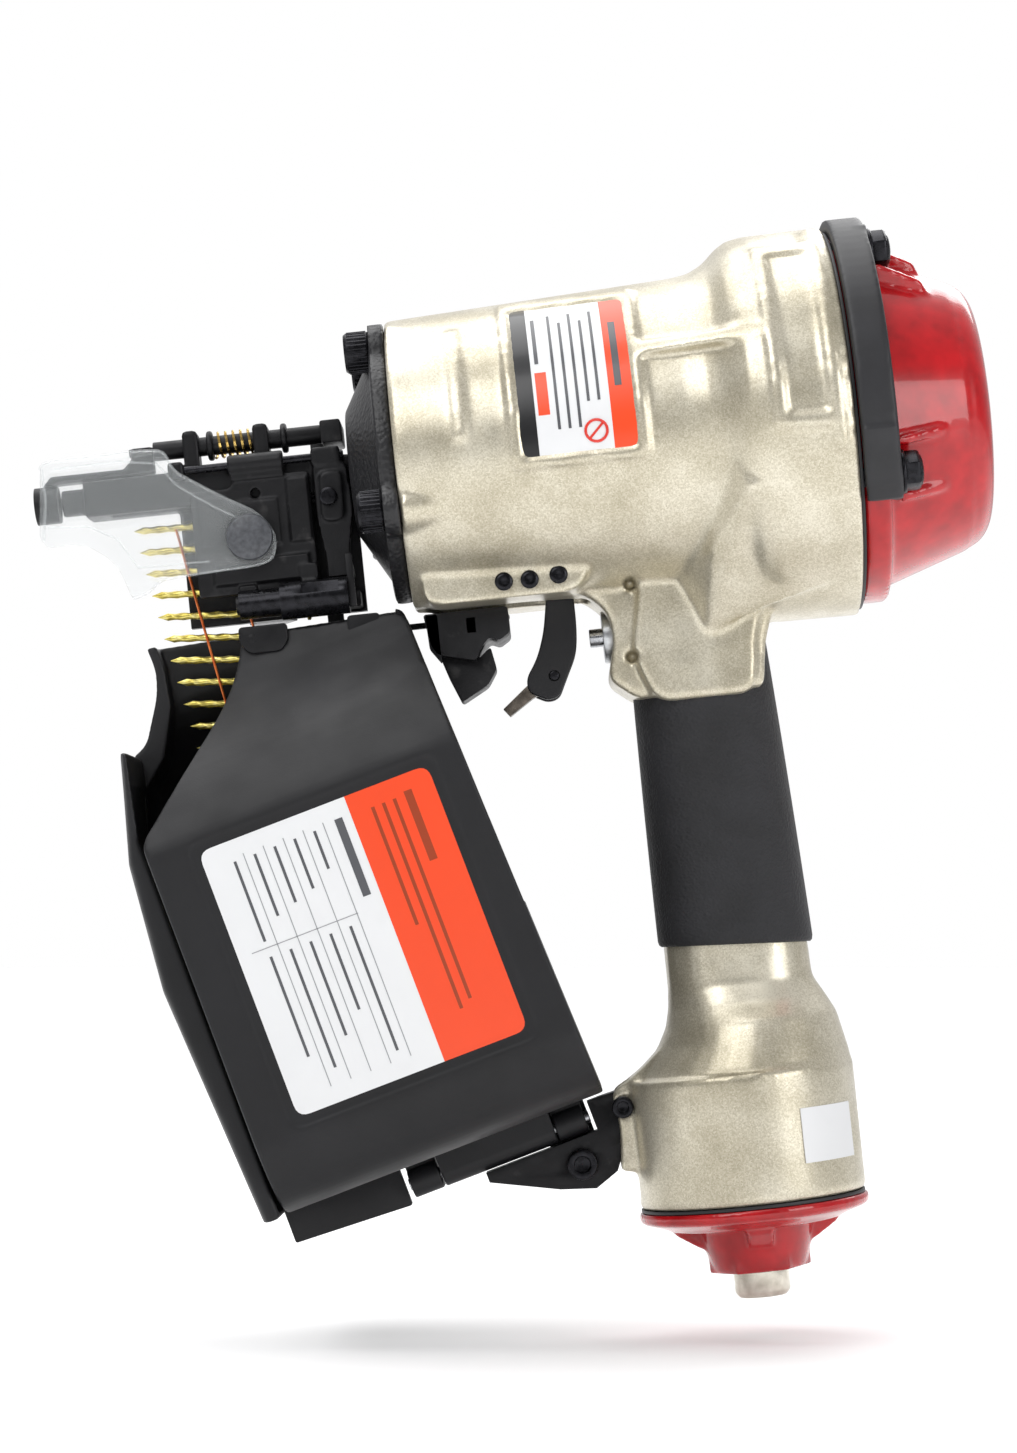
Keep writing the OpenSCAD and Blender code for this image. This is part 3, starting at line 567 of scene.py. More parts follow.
    # Clear polycarbonate: a glassy shell with bright edges; light passes straight through its thin wall
    m, t, s = surface("polycarbonate_clear", Base_Color=linear("#F2F7F8"), Roughness=0.04, IOR=1.58,
                      Transmission_Weight=0.5, Alpha=0.2, Specular_IOR_Level=0.8)
    place = add(t, "ShaderNodeTexCoord")
    flow = add(t, "ShaderNodeTexNoise", {"Vector": (place, "Object"), "Scale": per_mm(16), "Detail": 2.0})
    relief(t, s, (flow, "Fac"), 0.25, 0.5)
    MATERIALS["clear"] = m

    # Grey moulded nylon: the screw cap of the visor
    m, t, s = surface("nylon_grey_moulded", Roughness=0.4, IOR=1.53)
    place = add(t, "ShaderNodeTexCoord")
    cloud = add(t, "ShaderNodeTexNoise", {"Vector": (place, "Object"), "Scale": per_mm(1.5), "Detail": 4.0})
    tint(t, s, (cloud, "Fac"), [(0.3, "#3A3C40"), (0.7, "#54565B")])
    relief(t, s, (cloud, "Fac"), 0.2, 0.1)
    MATERIALS["disc"] = m

    # Printed vinyl film: white and coloured areas under a clear laminate
    for key, name, code in (("film", "vinyl_film_white", "#E4E5E6"),
                            ("orange", "vinyl_film_orange", colours.orange),
                            ("black_film", "vinyl_film_black", "#161618"),
                            ("ink", "vinyl_ink_grey", "#55565A"),
                            ("red_ink", "vinyl_ink_red", "#D9301F"),
                            ("pale_ink", "vinyl_ink_pale", "#9A9B9E"),
                            ("brown_ink", "vinyl_ink_brown", "#9A3A16")):
        m, t, s = surface(name, Roughness=0.32, Coat_Weight=0.2, Coat_Roughness=0.15)
        place = add(t, "ShaderNodeTexCoord")
        fade = add(t, "ShaderNodeTexNoise",
                   {"Vector": (place, "Object"), "Scale": per_mm(20), "Detail": 3.0})
        base = linear(code)
        shade_of = add(t, "ShaderNodeMix", {"Factor": (fade, "Fac"), "A": base,
                                            "B": tuple(c * 0.93 for c in base[:3]) + (1.0,)},
                                            data_type="RGBA")
        t.links.new(shade_of.outputs[2], s.inputs["Base Color"])
        MATERIALS[key] = m

    # Sintered bronze filter: matte and open-pored
    m, t, s = surface("bronze_sintered", Metallic=0.6, Roughness=0.6)
    place = add(t, "ShaderNodeTexCoord")
    pore = add(t, "ShaderNodeTexVoronoi", {"Vector": (place, "Object"), "Scale": per_mm(0.8)})
    # painted shade: the colour darkens in the pits of the bump, the pores, and pales on the grain tops
    tint(t, s, (pore, "Distance"), [(0.1, "#7A6A4A"), (0.6, "#B3A27A")])
    relief(t, s, (pore, "Distance"), 0.6, 0.3)
    MATERIALS["filter"] = m


# ---------------------------------------------------------------- the cast body


def stadium(cx, length, width, steps=10):
    """An oval of two half circles, in X and Y."""
    r = width / 2
    reach = length / 2 - r
    return arc(cx + reach, 0, r, -90, 90, steps) + arc(cx - reach, 0, r, 90, 270, steps)


def handle_section(z):
    """Centre, length and width of the handle's core at a height."""
    t = (GRIP_HIGH.z - z) / (GRIP_HIGH.z - GRIP_LOW.z)
    return GRIP_X - 0.6 + 1.2 * t, 42.5 + 4.0 * t, 33 + 1.5 * t


def build_body(s):
    """The cast body with its neck, handle core, lower housing and raised frames."""
    body = Shape()
    body.lathe((0, 0, 0), DRIVE, BARREL)
    slab_y = 29
    body.plate(rounded([(124, -24), (124, -48.6, 5), (172, -48.6, 3), (176, -44), (176, -24)], 1), -slab_y,
               slab_y)
    # neck that carries the handle and the trigger valve
    neck = rounded([(168, -30), (168, -47.8), (174.5, -48.6, 3), (181, -54.6, 3), (183, -63, 4),
                    (179.8, -76, 2),
                    (181, -78.4, 1), (188, -84), (229, -84), (231, -70), (237, -52), (237, -30)], 2)
    body.plate(neck, -17, 17)
    body.plate(rounded([(196, -30), (188, -70), (194, -86), (226, -86), (228, -66), (238, -44), (238, -30)],
                       6),
               -20.5, 20.5)
    # core of the handle and the lower housing with its shoulder
    body.loft([[(x, y, z) for x, y in stadium(*handle_section(z))] for z in (-60, -90, -120, -150, -170,
                                                                             -178)])
    body.loft([[(x, y, z) for x, y in stadium(cx, length, width, 16)] for z, cx, length, width in (
        (-170, 211.6, 46.2, 34.6), (-178, 211.8, 47, 35), (-184, 213.2, 51, 42), (-190, 214, 55.5, 54),
        (-196, 213, 60, 59.8), (-203, 211, 67, 66.8), (-209, END_X, 72.6, 72.4), (-214, END_X, 73, 73))])
    body.lathe((END_X, 0, 0), UP, [(END_Z, 35.6), (END_Z + 1.2, 36.4), (-206, 36.5)])
    # lug for the magazine bracket
    body.plate(rounded([(166.4, -208.4, 3), (176, -203, 4), (186, -194), (204, -190), (204, -236),
                        (167, -234, 2),
                        (168.4, -220, 5)], 2), -8.9, 8.9)
    # bosses for the nose screws
    for y, z in NOSE_BOLTS:
        body.rod((FRONT_X, y, z), (FRONT_X + 20, y * 0.96, z * 0.96), 8.1, 6.4)
    for side in (-1, 1):
        # rib, rail, frame at the rear and frame for the label
        body.on_barrel(139.4, 142.8, 1, 38, 0.9, side)
        body.on_barrel(198, 240.5, 21.2, 26, 1.5, side)
        body.on_barrel(238.5, 242, -9, 53.5, 1.5, side)
        body.on_barrel(256, 259.5, -17, 59.5, 1.5, side)
        body.on_barrel(238.5, 259.5, 50.2, 53.6, 1.5, side)
        body.on_barrel(238.5, 259.5, -9, -5.2, 1.5, side)
        body.on_barrel(156.6, 159.4, -11, 46.4, 1.5, side, steps=16)
        body.on_barrel(196.6, 199.4, -11, 46.8, 1.5, side, steps=16)
        body.on_barrel(156.6, 199.4, 43.6, 46.6, 1.5, side)
        body.on_barrel(156.6, 199.4, -11, -8.2, 1.5, side)
        # faceted gusset that runs from the handle root into the rear of the barrel
        body.hull([(219, side * 50, 3), (229, side * 57.5, -25), (216, side * 40, -42),
                   (262, side * 59.5, -21),
                   (262, side * 35, -52), (238, side * 26, -57), (226, side * 22, -60),
                   (205, side * 21, -48),
                   (212, side * 20, -66), (230, side * 10, -40), (262, side * 20, -40)])
    cuts = [
        Shape().block((158.5, -7.6, -60), (176.5, 7.6, -38)),
        Shape().block((118, -7.6, -60), (160, 7.6, -46.2)),
        Shape().rod((172, 0, -62), (215, 0, -62), 8.55),
        Shape().rod((189.6, -40, -47), (189.6, -12, -47), 2.0, sides=32),
        Shape().rod((188, -40, -70.4), (188, -12, -70.4), 2.0, sides=32),
        Shape().rod((BRACKET_X, -12, BRACKET_Z), (BRACKET_X, 12, BRACKET_Z), 2.55, sides=32),
        Shape().block((150, -4.05, -245), (172.7, 6.05, -200)),
        Shape().lathe((END_X, 0, 0), UP, [(END_Z - 4, 30), (END_Z + 40, 30)]),
        Shape().lathe((0, 0, 0), DRIVE, [(FRONT_X - 4, 12), (FRONT_X + 4, 12), (FRONT_X + 4.1, 36.5),
                                             (228, 36.5), (228.1, 50), (JOINT_X + 4, 50)]),
    ]
    piece = cast("cast_body", body, s.casting_voxel, 7, cuts)
    dress(piece, "frame", MATERIALS["casting"], ["body_housing"])


def build_grip(s):
    """The rubber sleeve on the handle."""
    rings = []
    slope = 0.262
    shrink = [(0.0, 3.0), (0.0, 1.0), (0.006, 0.35), (0.02, 0)]
    rows = shrink + [(0.02 + 0.96 * i / 22, 0) for i in range(1, 22)]
    rows += [(1 - t, q) for t, q in reversed(shrink)]
    for t, inset in rows:
        swell = 0.8 * math.sin(math.pi * t) ** 0.7
        cx = GRIP_X - 1.4 + 2.2 * t
        length = 44.6 + 5.4 * t - 2 * inset + swell * 0.6
        width = GRIP_HIGH.y * 2 - 1.8 + 1.0 * t - 2 * inset + swell
        ring = []
        for x, y in stadium(cx, length, width, 14):
            top = -78.9 + slope * (x - 186)
            bottom = -163.9 - 0.062 * (x - 187)
            ring.append((x, y, top + (bottom - top) * t))
        rings.append(ring)
    piece = Shape().loft(rings).to_object("rubber_grip")
    shade(piece, 60)
    dress(piece, "frame", MATERIALS["grip"], ["handle_grip"])


# ---------------------------------------------------------------- cap end


def build_cap(s):
    """The red cap, the rubber guard round it and the dome bolts."""
    cap = Shape()
    x0 = low("cylinder_cap").x
    cap.lathe((0, 0, 0), DRIVE, [(x0, 59.2), (x0 + 0.8, 59.8), (x0 + 7.8, 59.8), (x0 + 8.7, 59.0),
                                 (x0 + 8.8, 50)],
              128)
    profile = [(x0 + 6, 53.2), (x0 + 8.9, 53.2)]
    profile += [(x0 + 8.9 + 27.4 * i / 6, 53.2 - 9.2 * i / 6) for i in range(1, 7)]
    profile += arc(CAP_X - 10, 33.6, 10, 78, 0, 8) + [(CAP_X, 0.1)]
    cap.lathe((0, 0, CAP_AXIS_Z), DRIVE, profile, 128)
    # webs that run from the guard up the cone, two beside each screw
    start = high("cap_guard").x + 0.3
    for y, z in CAP_BOLTS:
        out = Vector((0, y, z)).normalized()
        across = Vector(DRIVE).cross(out)
        for shift in (-9.2, 9.2):
            ends = []
            for x, r in ((start, 44), (start, 55.4), (start + 3, 54.6), (start + 15, 48.4),
                         (start + 17, 44)):
                for w in (-1.5, 1.5):
                    ends.append(Vector((x, 0, 0)) + out * r + across * (shift + w))
            cap.hull(ends)
    cuts = [Shape().lathe((0, 0, 0), DRIVE, [(x0 - 3, 46), (x0 + 33, 41.4)]),
            Shape().rod((CAP_X - 20, 0, 0), (CAP_X + 5, 0, 0), 4)]
    piece = cast("red_cap", cap, s.casting_voxel, 4, cuts)
    dress(piece, "frame", MATERIALS["enamel"], ["cylinder_cap"])

    guard = Shape()
    x0 = low("cap_guard").x
    x1 = high("cap_guard").x
    guard.slice(arc(0, 0, 65.3, -27, 207, 60) + arc(0, 0, 60.1, 207, -27, 60), x0 + 0.1, x1 - 0.1)
    guard.slice(arc(0, 0, 64.6, -26, 206, 60) + arc(0, 0, 54.2, 206, -26, 60), x0 + 8.9, x1 - 0.1)
    for y, z in CAP_BOLTS:
        guard.rod((x0 + 8.9, y, z), (x1, y, z), 8.8)
    for side in (-1, 1):
        guard.hull([(x, side * py, pz) for x in (x0 + 0.6, x1 - 0.1) for py, pz in
                    ((61, -12), (65, -12), (59.5, -26), (55, -33.5), (48, -32), (60.2, -16))])
    cuts = [Shape().lathe((0, 0, 0), DRIVE, [(x0 - 2, 60.1), (x0 + 8.8, 60.1)], 128)]
    cuts += [Shape().rod((x0, y, z), (x1 + 4, y, z), 4.05) for y, z in CAP_BOLTS]
    piece = cast("cap_guard_rubber", guard, 0.8, 3, cuts)
    dress(piece, "frame", MATERIALS["rubber"], ["cap_guard"])

    bolts = Shape()
    for y, z in CAP_BOLTS:
        bolts.rod((x1 - 30, y, z), (x1 + 0.5, y, z), 4)
        bolts.lathe((x1, y, z), DRIVE, [(0.05, 7.0), (1.0, 7.1), (1.5, 6.7)], 40)
        bolts.lathe((x1, y, z), DRIVE, [(1.2, 6.4), (5.4, 6.4), (6.2, 5.8)], 6)
        bolts.lathe((x1, y, z), DRIVE, [(6.0, 5.2)] + [(6 + 1.35 * math.sin(a), 5.2 * math.cos(a))
                                                         for a in (0.4, 0.8, 1.2, 1.5)], 32)
    piece = machined("cap_bolts_dome", bolts, 0.3)
    dress(piece, "frame", MATERIALS["oxide"], ["cap_bolts"])
    softened("cap_gasket", "frame", MATERIALS["rubber"], 0.1)


# ---------------------------------------------------------------- nose, door, latch, visor, contact arm


def build_nose(s):
    """The flange, the nose with its screws, and the three parts of the contact arm."""
    nose = Shape()
    x1 = high("nose_body").x
    nose.lathe((0, 0, 0), DRIVE, [(x1 - 5.6, 43.6), (x1 - 5.2, 44), (x1, 44)])
    nose.lathe((0, 0, 0), DRIVE, [(103.8, 20), (105, 22), (109, 29), (113, 36), (x1 - 4, 40)])
    for y, z in NOSE_BOLTS:
        nose.rod((114.4, y, z), (x1, y, z), 8.4)
        nose.hull([(114.4, y * 0.7, z * 0.7), (x1, y * 1.1, z * 1.1), (x1, y * 0.6, z * 0.6),
                   (x1, y + 9, z * 0.8),
                   (x1, y - 9, z * 0.8), (114.6, y * 0.6 + 6, z * 0.6), (114.6, y * 0.6 - 6, z * 0.6)])
    cuts = [Shape().rod((x1 - 25, 0, 0), (x1 + 5, 0, 0), 8)]
    cuts += [Shape().rod((100, y, z), (114.4, y, z), 6.9) for y, z in NOSE_BOLTS]
    piece = cast("nose_flange", nose, 0.8, 3, cuts)
    dress(piece, "frame", MATERIALS["powder"])

    guide = Shape()
    guide.lathe((8.7, 0, 0), DRIVE, [(0, 4.1), (0.4, 4.35), (9, 4.35)], 48)
    guide.plate(rounded([(16.5, -5.8), (24, -5.8), (104, -5.8), (104, 5.9), (16.5, 5.9)], 0.8), 3.0, 9.8)
    guide.plate(rounded([(16.5, -5.8), (104, -5.8), (104, 5.9), (16.5, 5.9)], 0.8), -6.4, -3.0)
    guide.block((16.5, -4, 2.9), (104, 4, 5.9))
    guide.block((16.5, -4, -5.8), (24, 4, -2.9))
    guide.block((46, 5.3, -44.5), (104, 9.9, -3))
    # lugs of the door hinge, the strap on the door side and its foot
    guide.plate(rounded([(45, 2.6), (50, 2.6), (50, 8.4), (45, 8.4)], 0.8), -11.4, -5.4)
    guide.plate(rounded([(91.5, 2.6), (101, 2.6), (101, 8.4), (91.5, 8.4)], 1.2), -11.4, -5.4)
    strap = rounded([(91.8, 3), (102.4, 3), (103.6, -12), (101, -26), (103, -43.8), (92, -43.8),
                     (93.6, -30),
                     (91.6, -14)], 2)
    guide.plate(strap, -11, -7.2)
    guide.block((92, -8, -43.8), (102.8, 6, -38.4))
    guide.plate(rounded([(93.4, -16), (100.4, -16), (101, 0), (93.6, 0)], 2.5), -12.2, -10)
    for x in (50, 73):
        guide.plate(rounded([(x, 5), (x + 5, 5), (x + 5, 19), (x, 19)], 1.2), -4.9, 4.9)
    cuts = [Shape().rod((40, 0, ROD_Z), (104, 0, ROD_Z), 3.2),
            Shape().rod((40, DOOR_PIN_Y, DOOR_PIN_Z), (104, DOOR_PIN_Y, DOOR_PIN_Z), 1.4),
            Shape().rod((0, 0, 0), (112, 0, 0), 3.3),
            Shape().rod((64, DOOR_PIN_Y, DOOR_PIN_Z), (82.8, DOOR_PIN_Y, DOOR_PIN_Z), 3.7),
            Shape().rod((90.7, -12, -40.5), (103.3, -12, -40.5), 6.5),
            Shape().block((63, 4, -34), (81, 12, -8))]
    piece = cast("nose_guide", guide, 0.5, 2, cuts)
    dress(piece, "frame", MATERIALS["phosphate"], ["nose_body"])

    pins = Shape()
    pins.lathe((96, -12.1, -8.2), (0, -1, 0), [(0, 3.0), (1.3, 3.0), (1.8, 2.4)], 32)
    piece = machined("strap_pin", pins, 0.2)
    dress(piece, "frame", MATERIALS["oxide"])

    screws = Shape()
    for y, z in NOSE_BOLTS:
        screws.rod((114.3, y, z), (136, y, z), 4)
        screws.lathe((114.3, y, z), (-1, 0, 0),
                     [(0, 6.2), (0.5, 6.5), (7.2, 6.5), (8, 5.9), (8, 3.5), (4.4, 3.4),
                                                 (4.2, 0.1)], 48)
        for k in range(30):
            a = 2 * math.pi * k / 30
            q = Vector((0, y + 6.5 * math.cos(a), z + 6.5 * math.sin(a)))
            screws.rod(q + Vector((107.4, 0, 0)), q + Vector((113.6, 0, 0)), 0.28, sides=6)
    piece = machined("nose_screws", screws, 0)
    dress(piece, "frame", MATERIALS["oxide"], ["nose_bolts"])

    arm = Shape()
    arm.rod((40, 0, ROD_Z), (96, 0, ROD_Z), 3.1, sides=40)
    arm.plate(rounded([(32, 12.8), (41, 12.8), (41, 15.4), (32, 15.4)], 0.4), -1.35, 1.35)
    for x in (58.7, 83):
        arm.lathe((x, 0, ROD_Z), DRIVE, [(-1, 4.3), (-0.6, 4.85), (0.6, 4.85), (1, 4.3)], 40)
    arm.plate(rounded([(95, 10.6), (101.8, 10.6), (101.8, 18), (95, 18)], 1), -4, 16.1)
    piece = machined("contact_rod", arm, 0.35)
    dress(piece, "contact_arm", MATERIALS["phosphate"], ["contact_arm_upper"])

    foot = Shape()
    foot.collar((0.1, 0, 0), DRIVE, 6.1, 4.5, 7.6)
    foot.plate(rounded([(3, 5.6), (6, 8.9), (30, 8.9), (33, 12), (33, 15.3), (39.8, 15.3), (39.8, 7.2),
                        (32, 6.4),
                        (8, 6.4)], 0.8), -3.3, 3.3)
    piece = machined("contact_foot_tip", foot, 0.35)
    dress(piece, "contact_arm", MATERIALS["phosphate"], ["contact_foot"])

    lower = Shape()
    y0 = low("contact_arm_lower").y
    y1 = high("contact_arm_lower").y
    strap_y = y1 - 2.4
    lower.plate(rounded([(90.2, 17.6), (100.8, 17.6), (100.8, 11), (95.5, 9), (95.5, -49.5), (150, -49.5),
                         (150, -51.4), (92, -51.4), (90.2, -50)], 0.8), strap_y, y1)
    lower.plate(rounded([(122.4, -49.6), (149.8, -49.6), (149.8, -58), (146, -60.4), (143, -59), (140, -62),
                         (138, -66), (126, -63), (124, -60)], 1.2), y0, y1)
    lower.plate(rounded([(126, -62), (138, -65.8), (143, -61.8), (144.3, -69), (141, -74), (132, -78.8),
                         (128.5, -70)], 1.2), y0 + 4, 8)
    lower.plate(rounded([(123, -50), (127, -50), (127, -66), (123.5, -61)], 0.8), y0, y0 + 3)
    lower.block((136, y0, -57), (139, y0 + 2, -52))
    piece = machined("contact_arm_guide", lower, 0.5)
    dress(piece, "contact_arm", MATERIALS["phosphate"], ["contact_arm_lower"])


def build_door(s):
    """The nose door, the latch, and the clear visor with its screw disc."""
    door = Shape()
    door.plate(rounded([(51.2, -36.6), (90.3, -36.6), (90.3, 1.2), (66, 1.2), (64, -2), (51.2, -2)], 1.2),
               -10.2, -7.1)
    door.lathe((64.4, DOOR_PIN_Y, DOOR_PIN_Z), DRIVE, [(0, 3.0), (0.5, 3.4), (17.5, 3.4), (18, 3.0)], 40)
    door.block((65, -11, 0.4), (82, -7.1, 5))
    # raised panels with sloping sides
    for x0, x1, z0, z1, lift in ((82, 90.2, -22, 0, 1.0), (53, 63, -20, -4, 0.8), (56, 88.4, -34, -25, 1.4),
                                 (66, 80, -22, -6, 0.8)):
        door.hull([(x, -10.1, z) for x in (x0, x1) for z in (z0, z1)]
                  + [(x, -10.2 - lift, z) for x in (x0 + 1, x1 - 1) for z in (z0 + 1, z1 - 1)])
    door.plate(rounded([(84.4, -34), (90.2, -34), (90.2, -29), (84.4, -29)], 1), -12.2, -10)
    for x0, x1 in ((64.4, 70), (84.4, 90)):
        door.plate(rounded([(x0, -36), (x0, -34.2), (x1, -34.2), (x1, -36)], 0.3), -12.5, -7.2)
    cuts = [Shape().rod((60, DOOR_PIN_Y, DOOR_PIN_Z), (86, DOOR_PIN_Y, DOOR_PIN_Z), 1.38, sides=32),
            Shape().rod((DISC_X, -16, DISC_Z), (DISC_X, -4, DISC_Z), 2.12, sides=32),
            Shape().rod((72.4, -16, -4.3), (72.4, -4, -4.3), 1.6, sides=32)]
    piece = cast("door_plate", door, 0.4, 2, cuts)
    dress(piece, "nose_door", MATERIALS["phosphate"], ["nose_door"])

    softened("door_hinge_pin", "frame", MATERIALS["oxide"], 0.2)
    softened("latch_barrel", "nose_door", MATERIALS["oxide"], 0.5)
    softened("latch_lever", "latch", MATERIALS["phosphate"], 0.3)

    visor_front, visor_back = -14.8, -12.9
    outline = rounded([(4.4, 11.4), (8.3, 12.6), (35.8, 12.8), (44.8, 12, 3), (47, 5, 6), (62, -5, 20),
                       (73.2, -11.4, 8), (78.2, -19, 7), (76.6, -27, 6), (70, -28.4, 4), (55, -28.8, 5),
                       (39.5, -29.8, 3),
                       (36, -33.2, 2), (30, -35.2, 2), (26, -22.6, 6), (16, -15.3, 5), (4, -15.4),
                       (2, -12)], 1.5, 6)
    visor = Shape().plate(outline, visor_front, visor_back)
    shell = machined("visor_shell", visor, 0.6, segments=3)
    dress(shell, "nose_door", MATERIALS["clear"], ["visor"])

    rim = Shape()
    rim.tube([(x, visor_front + 0.1, z) for x, z in outline[:96]], 0.45, 8)
    rim.tube([(9, visor_front, 9.6), (30, visor_front, 9.9), (42, visor_front, 8), (48, visor_front, 0),
              (60, visor_front, -8.6), (66, visor_front, -12)], 0.4, 8)
    rim.tube([(5, visor_front, -9), (18, visor_front, -10), (27, visor_front, -15), (33, visor_front, -25),
              (56, visor_front, -25.4)], 0.4, 8)
    rim.tube([(3.4, visor_front, -13), (5.2, visor_front, 0), (4.8, visor_front, 10)], 0.5, 8)
    piece = machined("visor_rim", rim, 0)
    dress(piece, "nose_door", MATERIALS["clear"])

    disc = Shape()
    disc.lathe((DISC_X, -12.6, DISC_Z), (0, -1, 0),
               [(-6, 2.0), (2.0, 2.0), (2.2, 7.5), (3.4, 7.55), (4.0, 7.2), (4.3, 6.4),
                                              (4.3, 0.1)], 64)
    piece = machined("visor_screw_disc", disc, 0)
    dress(piece, "nose_door", MATERIALS["disc"], ["visor_disc"])


def build_feeder(s):
    """The feeder, in the shapes of the frame nodes."""
    for node, body, key, bevel in (
            ("feeder_housing", "frame", "phosphate", 0.6), ("feed_cap", "frame", "oxide", 0.4),
            ("feed_piston", "feeder", "steel", 0.3), ("feed_pawl", "feeder", "steel", 0.2)):
        softened(node, body, MATERIALS[key], bevel)


# ---------------------------------------------------------------- trigger


def build_trigger(s):
    """The trigger, its lever and valve, and the pins across the plate."""
    lever = Shape()
    outline = rounded([(163, -44, 2), (161.6, -52.8, 6), (160.4, -59, 8), (157.6, -67, 8),
                       (153.4, -73.2, 3),
                       (153.6, -77.8, 2.5), (159.8, -81, 2), (163.6, -80, 2), (167, -73, 4),
                       (170.6, -66, 6),
                       (171.4, -58, 6), (171.4, -44, 2)], 3)
    for y0, y1 in ((-7, -3.7), (3.7, 7)):
        lever.plate(outline, y0, y1)
    front = rounded([(163, -44), (161.6, -52.8, 6), (160.4, -59, 8), (157.6, -67, 8), (153.4, -73.2, 3),
                     (153.6, -77.8, 2), (157, -75.5, 2), (160.8, -69, 6), (163.8, -60, 6), (165, -50),
                     (165, -44)], 1.5)
    lever.plate(front, -7, 7)
    lever.rod((TRIGGER_PIN_X, -7, TRIGGER_PIN_Z), (TRIGGER_PIN_X, 7, TRIGGER_PIN_Z), 4.2)
    # shallow raised panel on each cheek
    for y0, y1 in ((-7.0, -6.0), (6.0, 7.0)):
        lever.plate(rounded([(164.6, -52), (163.2, -62), (159, -72), (162.6, -76), (167.6, -66),
                             (168.6, -54)], 2), y0, y1)
    cuts = [Shape().rod((TRIGGER_PIN_X, -9, TRIGGER_PIN_Z), (TRIGGER_PIN_X, 9, TRIGGER_PIN_Z), 2.56,
                        sides=40),
            Shape().rod((LEVER_PIN_X, -9, LEVER_PIN_Z), (LEVER_PIN_X, 9, LEVER_PIN_Z), 1.55, sides=32),
            Shape().plate([(164, -49.5), (163.2, -59), (156, -69.4), (150, -72), (150, -90), (175, -82),
                           (178, -49.5)],
                          -3.6, 3.6)]
    piece = cast("trigger_lever", lever, 0.4, 3, cuts)
    dress(piece, "trigger", MATERIALS["nylon"], ["trigger"])
    softened("lever_pin", "trigger", MATERIALS["oxide"], 0.3)
    softened("contact_lever", "contact_lever", MATERIALS["lever"], 0.4)
    softened("valve_housing", "frame", MATERIALS["aluminium"], 0.4)
    softened("valve_plunger", "valve_plunger", MATERIALS["steel"], 0.3)

    pins = Shape()
    for x, z in ((149.6, -43.4), (157.8, -43.6), (TRIGGER_PIN_X, TRIGGER_PIN_Z)):
        reach = high("trigger_pins").y
        pins.rod((x, -reach + 1, z), (x, reach - 1, z), 2.5)
        for side in (-1, 1):
            pins.lathe((x, side * (reach - 1.4), z), (0, side, 0),
                       [(0, 2.9), (0.8, 2.9), (1.2, 2.5), (1.4, 1.6),
                                                                    (1.15, 0.6), (1.1, 0.1)], 40)
    piece = machined("plate_pins", pins, 0)
    dress(piece, "frame", MATERIALS["oxide"], ["trigger_pins"])


# ---------------------------------------------------------------- magazine


def shell_section(inset=0.0, side=-1):
    """Cross-section of half the magazine, across its roll axis, inset by some millimetres."""
    d = COVER_D
    t = inset
    points = [(0, t), (d - 20, t, 10), (d - 6 - t * 0.6, 5 + t * 0.7, 12), (d - t, 20 + t * 0.2, 4),
              (d - t, 122 - t * 0.3, 5), (d - 12 - t * 0.9, 140 - t * 0.6, 10),
              (THROAT_Y - t, 166 - t * 0.5, 12),
              (THROAT_Y - t, 212), (0, 212)]
    return [(side * y, z) for y, z in rounded(points, 0.4)]


def seat(piece, body, nodes=()):
    """Moves a piece from the magazine's own frame into the tool's, and gives it the magazine's nylon."""
    piece.data.transform(Matrix.Scale(MM, 4) @ MAGAZINE @ Matrix.Scale(1 / MM, 4))
    dress(piece, body, MATERIALS["nylon"], nodes)


